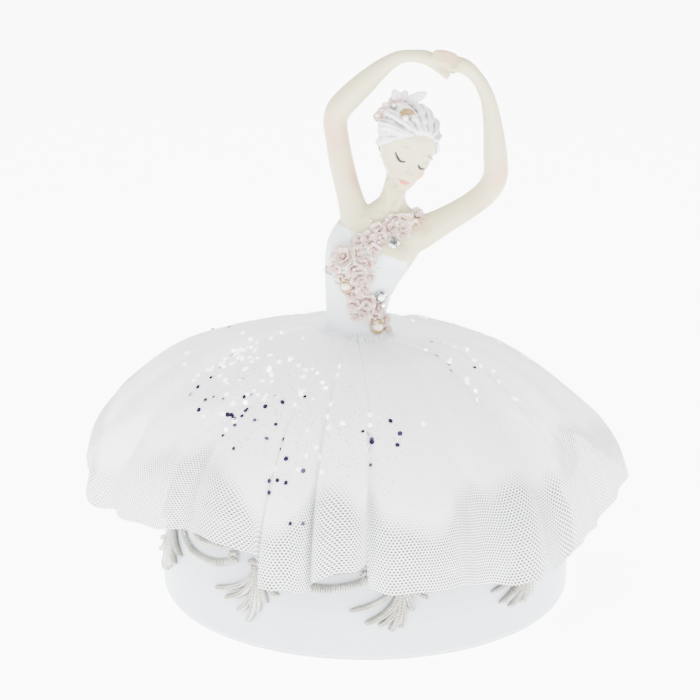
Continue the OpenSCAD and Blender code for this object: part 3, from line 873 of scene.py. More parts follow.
@dataclass
class Relief:
    """Bullion embroidery cast on the box: tassels, two rows of garland and palmettes."""

    bell: Bell
    repeats: int = 9
    first: float = 8.0
    tassel_top: float = 33.5
    thread: float = 0.4
    fingers: tuple[tuple[float, float, float, float], ...] = (
        # spread in degrees, length, curl, half width
        (-12.6, 13.0, 3.4, 1.35), (-9.2, 17.0, 3.2, 1.5), (-5.6, 20.0, 2.6, 1.65), (-2.0, 21.5, 1.8, 1.75),
        (1.6, 19.0, 1.2, 1.6), (5.2, 14.0, 0.8, 1.45), (8.8, 9.5, -0.2, 1.3))
    crease: float = 0.16  # half width of a leaf's groove, as a share of the leaf's
    rib: float = 0.15  # height of a leaf's cross ribs, a millimetre apart
    sunk: float = 0.35  # how deep a leaf's edges are sunk in the box

    def azimuths(self, shift: float = 0.0) -> list[float]:
        """The repeats' middle azimuths, shifted by a share of a repeat."""
        step = 360 / self.repeats
        return [self.first + step * (k + shift) for k in range(self.repeats)]

    def cord(self, path: Sequence[Vector], thick: float, pitch: float = 0.95) -> tuple[Path, list[float]]:
        """A coiled cord along a path, thinner at its ends.

        Args:
            path: The cord's middle line.
            thick: Its greatest radius.
            pitch: Distance from one turn to the next.

        Returns:
            The thread's path and its radius at each point.
        """
        def swell(u: float) -> float:
            """The winding's radius at a share of the cord's length."""
            return thick * (0.5 + 0.5 * arch(max(0, 0.1 + 0.8 * u)) ** 0.6)

        thread = coil(path, self.bell.outward, swell, pitch)
        return thread, [self.thread] * len(thread)

    def finger(self, azimuth: float, spread: float, length: float, curl: float) -> Path:
        """The middle line of one tassel finger, curling at its end.

        Args:
            azimuth: The tassel's azimuth in degrees.
            spread: How far the finger's end swings aside, in degrees.
            length: The finger's length.
            curl: How far its middle bows aside, in degrees.

        Returns:
            The line.
        """
        points = []
        for i in range(6):
            u = i / 5
            swing = spread * (0.08 + 0.92 * u ** 1.5) + curl * arch(u)
            z = self.tassel_top - length * (u - 0.04 * math.sin(TAU * u))
            points.append(self.bell.at(azimuth + swing, z, 0.4 + 0.5 * arch(u)))
        return smooth_path(points, 24)

    def frond(self, bm: bmesh.types.BMesh, path: Path, half: float, lift: float) -> None:
        """Adds a wide cast leaf: a domed band ribbed across like coiled thread, with a groove down it.

        Args:
            bm: The mesh to add to.
            path: The leaf's middle line, from its root.
            half: Half of its greatest width.
            lift: How far its back stands off the box.
        """
        length = sum((b - a).length for a, b in zip(path, path[1:]))
        # marks a leaf's edges and groove for painted shade
        wash = bm.verts.layers.float.get("wash") or bm.verts.layers.float.new("wash")
        made = bmesh.ops.create_grid(bm, x_segments=int(5 * length), y_segments=12, size=0.5, calc_uvs=False)
        for v in made["verts"]:
            u, across = v.co.x + 0.5, 2 * v.co.y
            groove = math.exp(-(across / self.crease) ** 2)
            v[wash] = min(1.0, abs(across) ** 5 + 0.85 * groove)
            k = min(int(u * (len(path) - 1)), len(path) - 2)
            centre = path[k].lerp(path[k + 1], u * (len(path) - 1) - k)
            along, out = (path[k + 1] - path[k]).normalized(), self.bell.outward(centre)
            wide = half * (0.3 + 0.7 * arch(0.04 + 0.8 * u) ** 1.1)
            ends = min(1.0, u / 0.04, (1 - u) / 0.07) ** 0.5
            dome = math.sqrt(max(0.0, 1 - across ** 2)) * ends
            rib = self.rib * math.sin(TAU * (u * length + 0.3 * across * across))
            height = (lift + rib - 0.5 * groove) * dome - self.sunk
            v.co = centre + out.cross(along) * wide * across * (0.6 + 0.4 * ends) + out * height

    def tassels(self) -> None:
        """Builds all tassels: a fan of cast leaves under a bound knot."""
        bm = bmesh.new()
        strands = []
        for k, azimuth in enumerate(self.azimuths()):
            for f, (spread, length, curl, half) in enumerate(self.fingers):
                reach = length * (1 + 0.06 * math.sin(5 * k + 2 * f))
                path = self.finger(azimuth, spread + 0.8 * math.sin(3 * k + f), reach, curl)
                self.frond(bm, path, half, 2.0 + 0.7 * (f % 2))
            knot = [self.bell.at(azimuth + s, self.tassel_top + 0.6, 0.8) for s in (-2.2, -1, 0, 1, 2.2)]
            strands.append(self.cord(knot, 1.2, 0.8))
        sweep(bm, strands, 4)
        Piece("tassels_bullion", "base", "relief", Finishes.relief, ("tassels",)).build(bm)

    def garland(self, name: str, node: str, ends: float, sag: float, inset: float, cords: int) -> None:
        """Builds one row of swags.

        Args:
            name: The piece's name.
            node: The CAD node that it stands for.
            ends: Height of a swag's ends.
            sag: How far its middle hangs down.
            inset: Share of a repeat left free at each end.
            cords: Cords side by side in the swag.
        """
        bm = bmesh.new()
        strands = []
        step = 360 / self.repeats
        for azimuth in self.azimuths():
            for c in range(cords):
                span = 1 - 2 * inset - 0.05 * c
                path = []
                for i in range(25):
                    u = i / 24
                    z = ends + 1.9 * c - (sag - 0.4 * c) * 4 * u * (1 - u)
                    path.append(self.bell.at(azimuth + step * (0.5 + span * (u - 0.5)), z, 0.35))
                strands.append(self.cord(path, 1.5 - 0.3 * c))
            for side in (-1, 1):
                end = azimuth + step * (0.5 + side * (0.5 - inset))
                hook = []
                for i in range(9):
                    a = math.pi * (0.15 + 1.45 * i / 8)
                    hook.append(self.bell.at(end + side * 1.5 * (math.cos(a) - 0.9),
                                             ends + 0.8 + 1.5 * math.sin(a) - 0.6, 0.35))
                strands.append(self.cord(hook, 0.9))
        sweep(bm, strands, 4)
        Piece(name, "base", "relief", Finishes.relief, (node,)).build(bm)

    def palmettes(self) -> None:
        """Builds fans of cast leaves between scrolls on the lid, above the swags' middles."""
        bm = bmesh.new()
        strands = []
        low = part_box("lid_bell")[0].z / MM + 5.2
        for azimuth in self.azimuths(0.5):
            for f in range(-3, 4):
                height = 14.5 - 1.1 * f * f
                path = [self.bell.at(azimuth + f * 4.4 * (i / 6) ** 0.7, low + height * i / 6, 0.4)
                        for i in range(7)]
                self.frond(bm, path, 1.4, 1.6 + 0.4 * (f % 2))
            for side in (-1, 1):
                scroll = []
                for i in range(22):
                    a = 0.35 * i
                    r = 3.6 * (1 - i / 26)
                    scroll.append(self.bell.at(azimuth + side * (14.5 + 0.72 * r * math.cos(a)),
                                               low + 3.4 + r * math.sin(a), 0.4))
                strands.append(self.cord(scroll, 0.8))
        sweep(bm, strands, 4)
        Piece("lace_palmettes", "lid", "relief", Finishes.relief, ("lace_motifs",)).build(bm)

    def build(self) -> None:
        """Builds the whole relief."""
        self.tassels()
        self.garland("garland_lower", "lower_garland", 33.6, 5.2, 0.16, 1)
        self.garland("garland_upper", "upper_garland", 40.2, 5.0, 0.09, 2)
        self.palmettes()


# ---------------------------------------------------------------- the skirt

@dataclass
class SkirtLayer:
    """One layer of net, from the waist to its cut hem.

    Rows of hem are azimuth in degrees from the front towards +X, radius and height; of glitter, azimuth, t,
    spread in degrees and power; of profile, t and the shares of the way out and down to the hem. waist is
    half width and height. across and down count the grid's faces; the net laid flat is flat_width by
    flat_length.
    """

    name: str
    node: str
    finish: Tulle
    hem: tuple[tuple[float, float, float], ...]
    pleats: int
    depth: float
    swing: float
    seed: float
    bell: Bell
    gap: float
    waist: tuple[float, float] = (12.2, 104.0)
    across: int = 900
    down: int = 52
    flat_width: float = TAU * 100 * 1.42
    flat_length: float = 150.0
    glitter: tuple[tuple[float, float, float, float], ...] = ()
    drop: float = 0.0
    profile: tuple[tuple[float, float, float], ...] = (
        (0.0, 0.0, 0.0), (0.06, 0.07, -0.07), (0.15, 0.2, -0.05), (0.3, 0.42, 0.04), (0.5, 0.68, 0.23),
        (0.7, 0.87, 0.5), (0.85, 0.96, 0.74), (1.0, 1.0, 1.0))

    def hem_at(self, azimuth: float) -> list[float]:
        """Hem radius and height at an azimuth in degrees."""
        return blend_keys(self.hem, (azimuth + 180) % 360 - 180)

    def point(self, azimuth: float, t: float) -> Vector:
        """Where the net runs.

        Args:
            azimuth: Degrees from the front towards +X.
            t: 0 at the waist, 1 at the hem.

        Returns:
            The point, in millimetres.
        """
        a = math.radians(azimuth)
        out, fall = glide_keys(self.profile, t)
        radius, height = self.hem_at(azimuth)
        push, wave, strong, weak = self.pleat(a, t)
        left = max(0.0, -math.sin(a))
        back = max(0.0, -math.cos(a))
        right = max(0.0, math.sin(a))
        puff = (0.4 + 1.6 * left - 5.0 * back + 0.5 * right) * arch(t / 0.62) ** 2
        puff += 1.2 * weak * arch(t / 0.8)
        out -= 0.05 * right * arch(t)
        fall = fall if fall > 0 else fall * (0.1 + 0.9 * left ** 0.6)
        fall += 0.06 * right * arch(max(0.0, t - 0.15) / 0.85) ** 2
        sway = self.swing / self.pleats * math.sin(wave) * (0.3 + 0.7 * min(1.0, 1.6 * t))
        turned = a + sway * (0.8 + 0.8 * strong)
        lean = -3.3 * (1 - min(1.0, 2.5 * t))
        flat = 1 - 0.12 * (1 - min(1.0, 3 * t)) * math.cos(a) ** 2
        r = self.waist[0] + (radius - self.waist[0]) * out + push * (0.3 + 0.7 * out)
        z = self.waist[1] + (height - self.waist[1]) * fall + puff - self.drop * arch(1.1 * t)
        z += 0.35 * push * (1 - 0.5 * t) + 0.4 * math.sin(3 * wave + 1) * t * t
        r, z = self.off_lid(r, z, push)
        return Vector((r * math.sin(turned) + lean, -r * flat * math.cos(turned), z))

    def pleat(self, a: float, t: float) -> tuple[float, float, float, float]:
        """How the pleats bend the net.

        Args:
            a: Angle in radians from the front towards +X.
            t: 0 at the waist, 1 at the hem.

        Returns:
            The push outwards in millimetres, the main pleats' phase, and the slow noises that vary the main
            and the second pleats.
        """
        wave = self.pleats * a + 2.4 * math.sin(2 * a + self.seed) + 1.6 * math.sin(5 * a + 2 * self.seed)
        second = 1.7 * wave + 2.3 * math.sin(3 * a + 3 * self.seed)
        about = Vector((2.2 * math.sin(a), 2.2 * math.cos(a), self.seed + 0.5 * t))
        strong, weak = noise.noise(about), noise.noise(about * 1.7)
        fold = ((0.5 + 1.1 * strong) * math.cos(wave) + (0.42 + 0.9 * weak) * math.cos(second)
                + 0.14 * math.cos(2.9 * wave))
        return self.depth * min(1.0, 0.2 + 1.1 * t) * fold, wave, strong, weak

    def off_lid(self, r: float, z: float, push: float) -> tuple[float, float]:
        """Lifts the net off the lid under it.

        Args:
            r: The net's radius.
            z: Its height.
            push: The pleats' push there.

        Returns:
            Radius and height, at least the gap away from the lid.
        """
        bell = self.bell
        over = math.hypot(r / bell.foot, (z - bell.curve_from) / bell.rise)
        clear = 1 + (self.gap + max(0.0, 0.6 + 0.5 * push)) / bell.rise
        if over < clear and z < bell.curve_from + bell.rise + self.gap:
            r *= clear / over
            z = bell.curve_from + (z - bell.curve_from) * clear / over
        return r, z

    def build(self, rests_on: Sequence[str]) -> None:
        """Args:
            rests_on: The nodes that it lies on. Not used.
        """
        bm = bmesh.new()
        bmesh.ops.create_grid(bm, x_segments=self.across, y_segments=self.down, size=0.5, calc_uvs=False)
        uv = bm.loops.layers.uv.new("net")
        for face in bm.faces:
            for corner in face.loops:
                x, y = corner.vert.co.x + 0.5, corner.vert.co.y + 0.5
                corner[uv].uv = (x * self.flat_width, y * self.flat_length)
        glitter = bm.verts.layers.float.new("glitter")
        dense = bm.verts.layers.float.new("dense")
        for v in bm.verts:
            azimuth, t = 360 * v.co.x, 0.5 - v.co.y
            a = math.radians(azimuth)
            patch = Vector((3 * math.sin(a), 3 * math.cos(a), self.seed))
            open_from = 0.74 + 0.16 * noise.noise(patch) + 0.08 * noise.noise(patch * 3)
            # dense sets the haze and where painted shade fills the holes
            v[dense] = unit((open_from - t) / 0.07 + 0.5)
            v[glitter] = min(1.0, sum(
                power * math.exp(-((azimuth - az) / wide) ** 2 - ((t - at) / 0.3) ** 2)
                for az, at, wide, power in self.glitter))
            v.co = self.point(azimuth, t)
        bmesh.ops.remove_doubles(bm, verts=bm.verts, dist=0.002)
        slot = "tulle" if self.node == "skirt_outer" else "tulle_inner"
        piece = Piece(self.name, "lid", slot, self.finish, (self.node,)).build(bm)


class SequinKind(Enum):
    """The two looks of one sequin: white with a glow as a painted glint, and plum as a painted dark
    reflection.
    """

    PLUM = "plum"
    WHITE = "white"


@dataclass(frozen=True)
class SequinPatch:
    """A patch of sequins on the outer net: middle azimuth and t, spreads and count."""

    kind: SequinKind
    azimuth: float
    t: float
    wide: float
    tall: float
    count: int


@dataclass
class Sequins:
    """Round sequins glued on the outer net."""

    layer: SkirtLayer
    radius: float = 0.95
    thick: float = 0.12
    lift: float = 0.35  # how far a sequin stands off the net
    tilt: float = 0.35  # how much it may lean
    sizes: tuple[float, float] = (0.75, 1.1)  # least and greatest size, as shares of radius
    nearest: float = 0.08  # t of the sequins nearest the waist
    furthest: float = 0.92  # t of the sequins nearest the hem
    patches: tuple[SequinPatch, ...] = (
        SequinPatch(SequinKind.PLUM, -42, 0.50, 14, 0.10, 22),
        SequinPatch(SequinKind.PLUM, -22, 0.60, 9, 0.16, 12),
        SequinPatch(SequinKind.PLUM, 3, 0.52, 7, 0.09, 10),
        SequinPatch(SequinKind.PLUM, -62, 0.35, 12, 0.1, 5),
        SequinPatch(SequinKind.PLUM, 50, 0.36, 14, 0.12, 5),
        SequinPatch(SequinKind.WHITE, -66, 0.34, 14, 0.1, 46),
        SequinPatch(SequinKind.WHITE, -40, 0.40, 18, 0.14, 34),
        SequinPatch(SequinKind.WHITE, -8, 0.5, 16, 0.18, 20),
        SequinPatch(SequinKind.WHITE, 55, 0.34, 16, 0.14, 18),
        SequinPatch(SequinKind.WHITE, 150, 0.4, 50, 0.16, 40),
        SequinPatch(SequinKind.PLUM, -150, 0.45, 40, 0.14, 14))

    def build(self) -> None:
        """Builds one piece for each kind of sequin."""
        chance = random.Random(31)
        meshes = {kind: bmesh.new() for kind in SequinKind}
        for patch in self.patches:
            for _ in range(patch.count):
                azimuth = chance.gauss(patch.azimuth, patch.wide * 0.6)
                t = min(self.furthest, max(self.nearest, chance.gauss(patch.t, patch.tall * 0.7)))
                here = self.layer.point(azimuth, t)
                across = self.layer.point(azimuth + 0.15, t) - here
                down = self.layer.point(azimuth, t + 0.003) - here
                normal = down.cross(across).normalized()
                if normal.dot(Vector((here.x, here.y, 40))) < 0:
                    normal.negate()
                tilt = Vector([chance.uniform(-self.tilt, self.tilt) for _ in range(3)])
                size = self.radius * chance.uniform(*self.sizes)
                matrix = Matrix.Translation(here + normal * self.lift) @ aim(normal + tilt)
                bmesh.ops.create_cone(meshes[patch.kind], cap_ends=True, segments=10, radius1=size,
                                      radius2=size * 0.86, depth=self.thick, matrix=matrix)
        # white sequins glow as a painted glint; plum ones stand for a painted dark reflection
        looks = {SequinKind.PLUM: Finishes.sequin_dark, SequinKind.WHITE: Finishes.sequin_light}
        for kind, bm in meshes.items():
            Piece("sequins_" + kind.value, "lid", "tulle", looks[kind], smooth=False).build(bm)


@dataclass
class WaistGather:
    """The bunched net round the waist."""

    centre: tuple[float, float] = (-3.4, 0.0)
    half: tuple[float, float] = (11.8, 9.6)
    low: float = 100.6
    high: float = 106.6
    belly: float = 1.9  # how far its middle swells out
    flare: float = 1.6  # how far its foot spreads over the skirt
    cloth: float = 0.25

    def build(self) -> None:
        """Builds a crumpled band of small gathers."""
        bm = bmesh.new()
        bmesh.ops.create_grid(bm, x_segments=420, y_segments=22, size=0.5, calc_uvs=False)
        for v in bm.verts:
            a, t = TAU * v.co.x, v.co.y + 0.5
            ruck = math.sin(46 * a + 3 * math.sin(5 * a) + 5 * t)
            ruck += 0.6 * math.sin(71 * a + 4 * math.sin(3 * a) - 3 * t)
            crumple = noise.noise(Vector((9 * math.sin(a), 9 * math.cos(a), 3 * t)))
            out = self.belly * arch(t) + 0.42 * ruck + 1.1 * crumple + self.flare * (1 - t) ** 2
            z = self.low + (self.high - self.low) * t + 0.9 * math.sin(7 * a + 1) * t + 0.35 * ruck
            v.co = Vector((self.centre[0] + (self.half[0] + out) * math.sin(a),
                           self.centre[1] - (self.half[1] + out) * math.cos(a), z))
        bmesh.ops.remove_doubles(bm, verts=bm.verts, dist=0.01)
        bmesh.ops.recalc_face_normals(bm, faces=bm.faces)
        bmesh.ops.solidify(bm, geom=bm.faces, thickness=self.cloth)
        Piece("waist_gather", "lid", "satin", Finishes.satin, ("waist_ribbon",)).build(bm)


# ---------------------------------------------------------------- the dancer

@dataclass
class Head:
    """The head's own frame: a face that looks down to the side, eyes closed."""

    centre: tuple[float, float, float] = (17.2, -2.8, 182.5)
    nod: float = 17.0
    yaw: float = 17.0
    lean: float = 18.0
    rings: tuple[tuple[float, float, float, float, float], ...] = (
        # height, half width, depth to the face, depth to the back, middle
        (-16.6, 2.2, 7.6, -3.6, 1.9), (-15.8, 3.9, 9.4, -2.2, 1.7), (-14.0, 5.7, 10.0, -0.6, 1.3),
        (-12.0, 7.2, 9.9, 1.8, 0.8), (-9.5, 8.7, 10.0, 5.5, 0.3), (-6.5, 9.9, 10.2, 8.6, -0.3),
        (-3.0, 10.8, 10.2, 10.8, -0.9), (0.5, 11.4, 10.6, 12.2, -1.5), (4.0, 11.6, 11.0, 12.8, -2.2),
        (7.6, 11.3, 10.4, 12.6, -2.8), (10.6, 10.0, 8.6, 11.0, -3.3), (13.2, 7.4, 5.6, 8.2, -3.7),
        (14.9, 4.1, 2.4, 4.6, -3.9), (15.5, 1.6, 0.6, 2.0, -4.0))

    def matrix(self) -> Matrix:
        """Places head coordinates in the box's frame.

        Returns:
            The placing.
        """
        place = Matrix.Translation(self.centre)
        for degrees, axis in ((self.lean, "Y"), (self.yaw, "Z"), (self.nod, "X")):
            place = place @ Matrix.Rotation(math.radians(degrees), 4, axis)
        return place

    def skull(self, bm: bmesh.types.BMesh) -> None:
        """Adds the head form, with nose, lids, lips, cheeks and chin, in the box's frame.

        Args:
            bm: The mesh to add to.
        """
        first = len(bm.verts)
        edges = []
        for z, half, face, back, middle in self.rings:
            made = bmesh.ops.create_circle(bm, cap_ends=False, radius=1, segments=40)
            for v in made["verts"]:
                x, y = v.co.x, v.co.y
                wide = half * math.copysign(abs(x) ** 0.92, x)
                v.co = Vector((middle + wide, (face if y < 0 else back) * y, z))
            edges.append(list({e for v in made["verts"] for e in v.link_edges}))
        for low, high in zip(edges, edges[1:]):
            bmesh.ops.bridge_loops(bm, edges=low + high)
        for end in (edges[0], edges[-1]):
            bmesh.ops.holes_fill(bm, edges=end, sides=0)
        add_ball(bm, (0, -10.9, -6.6), (1.25, 1.7, 1.1))
        add_ball(bm, (0, -9.9, -3.6), (0.95, 1.7, 3.6), Matrix.Rotation(math.radians(-13), 4, "X"))
        for side in (-1, 1):
            add_ball(bm, (side * 1.15, -10.0, -6.9), (0.8, 1.0, 0.7))
            add_ball(bm, (side * 4.5, -8.2, -2.0), (2.7, 2.2, 1.75))
            add_ball(bm, (side * 4.7, -6.8, -7.6), (2.8, 2.4, 3.0))
            add_ball(bm, (side * 4.2, -9.1, 1.6), (3.4, 1.6, 1.0),
                     Matrix.Rotation(math.radians(side * 8), 4, "Y"))
            add_ball(bm, (side * 1.1, -9.7, -11.0), (1.5, 1.1, 0.62),
                     Matrix.Rotation(math.radians(side * 14), 4, "Y"))
        add_ball(bm, (0, -9.5, -12.0), (1.7, 1.05, 0.62))
        add_ball(bm, (0, -8.6, -14.8), (2.3, 1.9, 1.6))
        bm.verts.ensure_lookup_table()
        bmesh.ops.transform(bm, matrix=self.matrix(), verts=bm.verts[first:])

    def on_face(self, tree: BVHTree, x: float, z: float, out: float = 0.0) -> Vector:
        """Finds the face in front of a place.

        Args:
            tree: The figure's search tree.
            x: Head coordinate across.
            z: Head coordinate up.
            out: Distance off the skin.

        Returns:
            The point, in the box's frame.
        """
        place = self.matrix()
        start = place @ Vector((x, -30, z))
        along = (place.to_3x3() @ Vector((0, 1, 0))).normalized()
        hit = tree.ray_cast(start, along)[0]
        return (hit if hit else place @ Vector((x, -9, z))) - along * out


@dataclass
class Dancer:
    """The half figure of cast resin: torso, neck, head, arms and hands in one casting."""

    head: Head = field(default_factory=Head)
    torso: tuple[tuple[float, float, float, float, float], ...] = (
        # height, centre x, centre y, half width, half depth
        (91.0, -2.0, 0.0, 10.6, 8.6), (98, -2.6, 0, 12.3, 9.8), (104, -3.4, 0, 12.3, 9.2),
        (109, -3.7, 0, 12.0, 8.7), (114, -3.8, -0.2, 12.1, 8.6), (120, -3.1, -0.5, 12.9, 9.0),
        (126, -1.6, -0.9, 14.6, 9.5), (132, 0.4, -1.1, 16.7, 9.9), (138, 2.4, -1.0, 18.6, 9.6),
        (143, 3.8, -0.5, 19.2, 8.8), (147, 4.7, 0.1, 18.4, 7.9), (151, 5.5, 0.5, 16.4, 7.0),
        (154.5, 6.8, 0.6, 12.4, 6.3), (157.5, 8.6, 0.3, 7.6, 5.5), (160.5, 10.2, -0.1, 5.2, 4.9),
        (165, 11.4, -0.8, 4.7, 4.8), (170, 12.6, -1.4, 4.8, 5.2), (175, 13.8, -1.4, 5.6, 6.0))
    neck_edge: tuple[tuple[float, float], ...] = (
        (-13.0, 150.4), (-1.5, 147.7), (4.5, 141.2), (9.0, 140.0), (15.0, 137.6))
    left_lash: tuple[tuple[float, float], ...] = (
        (-8.3, 0.2), (-7.4, -1.1), (-6.2, -2.1), (-4.9, -2.4), (-3.5, -1.9))
    right_lash: tuple[tuple[float, float], ...] = (
        (2.2, -2.2), (3.1, -3.3), (4.4, -4.1), (5.5, -4.3), (6.2, -4.2))
    locks: int = 15  # main locks of hair round the parting's axis
    hairs: int = 47  # fine strands round it
    hair_thick: float = 1.25  # how far the hair stands off the scalp
    voxel: float = 0.5  # cell of the casting's fused skin
    right_arm: tuple[tuple[float, float, float, float], ...] = (
        (-0.5, 0.6, 142, 7.0), (-3.4, 0.8, 149.5, 6.6), (-5.2, 1.0, 156.5, 5.6), (-7.2, 1.3, 164, 5.0),
        (-9.6, 1.8, 174, 4.9), (-11.3, 2.0, 184, 4.7), (-12.0, 1.4, 190.5, 4.8), (-10.6, 0.4, 195.6, 5.1),
        (-6.6, -1.2, 200.6, 5.0), (-0.8, -2.8, 206.6, 4.6), (5.0, -4.2, 212.2, 3.7),
        (10.6, -5.4, 216.4, 2.9), (14.8, -6.0, 217.9, 2.55), (19.6, -6.4, 218.0, 2.5))
    left_arm: tuple[tuple[float, float, float, float], ...] = (
        (13.5, 0.6, 143.6, 7.4), (20.5, 0.6, 145.6, 6.9), (28.0, 0.8, 149.4, 5.7), (35.5, 1.2, 153.6, 5.1),
        (42.6, 1.5, 158.2, 4.9), (48.0, 1.2, 163.4, 4.9), (50.6, 0.4, 169.6, 4.9), (50.2, -0.8, 179.0, 4.7),
        (49.1, -2.4, 189.4, 3.9), (47.2, -4.2, 199.6, 3.1), (44.2, -5.6, 206.8, 2.75),
        (41.0, -6.8, 211.4, 2.6))

    def hand(self, bm: bmesh.types.BMesh, palm: Sequence[Sequence[float]], fan: Sequence[float],
             tips: Sequence[Sequence[float]], thumb: Sequence[Sequence[float]]) -> None:
        """Adds a hand.

        Args:
            bm: The mesh to add to.
            palm: Keyed path and radius of the palm, from the wrist.
            fan: Step from one finger's root to the next.
            tips: Path of the first finger from its root, with radius.
            thumb: Path of the thumb with radius.
        """
        limb(bm, palm, 14, 12)
        for k in range(4):
            shift = Vector((0, fan[0], fan[1], 0)) * (k - 1.5)
            shorter = 1 - 0.06 * abs(k - 1.2)
            root = Vector(tips[0])
            limb(bm, [root + shift + (Vector(t) - root) * shorter for t in tips], 14, 8)
        limb(bm, thumb, 10, 8)

    def neckline(self, p: Vector) -> float:
        """Where the bodice is painted.

        Args:
            p: A point of the figure.

        Returns:
            1 on the bodice, 0 on the skin.
        """
        edge = blend_keys(self.neck_edge, p.x)[0] if p.y < 0 else 139.0 + 0.1 * p.x
        if p.x > 15.2 + 0.24 * (138.5 - p.z) and p.z > 127:
            return 0.0
        return unit((edge - p.z) / 0.8 + 0.5)

    def blush(self, p: Vector) -> float:
        """Rosy tint on elbows, inner arms, hands and cheeks.

        Args:
            p: A point of the figure.

        Returns:
            The tint's strength.
        """
        turn = self.head.matrix()
        tints = (
            # strength, centre, reach
            (0.75, (-14.5, 0.0, 186), 13), (0.8, (-2.0, 0, 171), 10), (0.8, (54, 0, 170), 11),
            (0.55, (31, -9, 219), 8), (0.5, (20, -4, 152), 7), (0.9, turn @ Vector((6.4, -9.0, -7.6)), 4.6),
            (0.3, turn @ Vector((-6.0, -9.0, -7.6)), 4.4), (0.4, (44, 0, 159), 8))
        return sum(strength * near(p, centre, reach) for strength, centre, reach in tints)

    def shade(self, p: Vector) -> float:
        """Painted shade beside the nose, under the chin, under the arms and at the hand.

        Args:
            p: A point of the figure.

        Returns:
            The wash's strength.
        """
        nose = self.head.matrix() @ Vector((1.5, -11.0, -7.0))
        shade_spots = (
            # strength, centre, reach
            (0.85, nose, 2.0), (0.6, (-0.6, -1, 168), 8), (0.45, (12, -5, 166), 5), (0.3, (45, 1, 155), 9),
            (0.8, (33.6, -8, 212.8), 3.4), (0.35, (23, -5, 148), 4))
        return sum(strength * near(p, centre, reach) for strength, centre, reach in shade_spots)

    def cast(self) -> BVHTree:
        """Casts the figure.

        Returns:
            A search tree of its skin, in millimetres.
        """
        bm = bmesh.new()
        loft(bm, [oval(x, y, z, w, d) for z, x, y, w, d in self.torso], 32)
        for x, z, size in ((-7.6, 137.0, 7.4), (9.6, 138.6, 7.6)):
            add_ball(bm, (x, -5.6, z), (size, size * 0.92, size), detail=24)
        add_ball(bm, (15.6, 0.6, 147.0), (7.5, 6.6, 6.2), detail=20)
        for a, b in (((10.6, -5.4, 156.0), (21.0, -5.2, 151.6)), ((6.4, -5.2, 155.6), (-2.4, -4.6, 152.6))):
            sweep(bm, [(smooth_path([a, b], 8), [0.9] * 8)], 8)
        for side in (-1, 1):
            top = Vector((12.2 + 3.8 * side, -4.2, 169.0))
            sweep(bm, [(smooth_path([top, (10.4 + 1.2 * side, -5.2, 157.0)], 8), [1.2] * 8)], 8)
        limb(bm, self.right_arm, 60, 16)
        limb(bm, self.left_arm, 60, 16)
        self.hand(bm, palm=((18.6, -6.3, 218.1, 2.5), (22.6, -6.9, 217.6, 2.9), (26.4, -7.6, 215.8, 2.7)),
                  fan=(0.5, 1.25), tips=((26.0, -7.8, 216.2, 1.35), (28.8, -8.6, 214.2, 1.3),
                                         (30.8, -9.2, 212.4, 1.2), (31.8, -9.4, 211.6, 0.9)),
                  thumb=((24.4, -7.6, 215.6, 1.9), (30.0, -7.0, 213.4, 1.9), (34.4, -7.0, 212.6, 1.5)))
        self.hand(bm, palm=((41.4, -6.7, 211.0, 2.65), (38.0, -7.9, 213.9, 3.1), (34.2, -9.0, 215.8, 3.0)),
                  fan=(0.35, 1.15), tips=((34.0, -9.2, 216.2, 1.5), (30.6, -10.0, 217.8, 1.4),
                                          (27.2, -10.4, 218.6, 1.2), (24.6, -10.4, 218.9, 0.8)),
                  thumb=((37.4, -9.6, 213.0, 1.4), (34.4, -10.8, 213.6, 1.2), (31.4, -11.4, 214.6, 0.9)))
        self.head.skull(bm)
        bm = remeshed(bm, self.voxel, 3)
        tree = BVHTree.FromBMesh(bm)
        mark(bm, "bodice", self.neckline)
        mark(bm, "blush", self.blush)
        # painted shade: darkening where shade falls on the casting
        mark(bm, "shade", self.shade)
        stands_for = ("figure_torso", "figure_head", "right_arm", "left_arm")
        Piece("figure_casting", "lid", "porcelain", Finishes.porcelain, stands_for).build(bm)
        return tree

    def face(self, tree: BVHTree) -> None:
        """Paints the closed lashes, brows and lips as thin raised lines.

        Args:
            tree: The figure's search tree.
        """
        lashes, brows, lips = bmesh.new(), bmesh.new(), bmesh.new()
        for side in (-1, 1):
            arc = self.left_lash if side < 0 else self.right_lash
            path = smooth_path([self.head.on_face(tree, x, z, 0.02) for x, z in arc], 16)
            sweep(lashes, [(path, [0.16 + 0.42 * arch(0.12 + 0.8 * i / 15) for i in range(16)])], 6)
            shift = Vector((-1.0, 0.7)) if side < 0 else Vector((-0.8, -0.9))
            arc = [Vector((side * x, z)) + shift for x, z in ((6.6, 2.8), (5.2, 3.7), (3.6, 3.6), (2.4, 2.7))]
            path = smooth_path([self.head.on_face(tree, x, z, 0.0) for x, z in arc], 14)
            sweep(brows, [(path, [0.08 + 0.09 * math.sin(math.pi * i / 13) for i in range(14)])], 6)
        upper = [(-3.3, -10.4), (-1.6, -10.85), (-0.6, -10.75), (0, -10.95), (0.6, -10.75), (1.6, -11.0),
                 (3.1, -10.8)]
        lower = [(-2.6, -11.0), (-1.2, -11.5), (0, -11.7), (1.2, -11.55), (2.5, -11.1)]
        for arc, thick in ((upper, 0.42), (lower, 0.56)):
            path = smooth_path([self.head.on_face(tree, x, z, -0.12) for x, z in arc], 18)
            sweep(lips, [(path, [thick * (0.25 + 0.75 * math.sin(math.pi * i / 17)) for i in range(18)])], 8)
        Piece("lashes", "lid", "porcelain", Finishes.lash).build(lashes)
        Piece("brows", "lid", "porcelain", Finishes.brow).build(brows)
        Piece("lips", "lid", "porcelain", Finishes.lips).build(remeshed(lips, 0.16, 1))

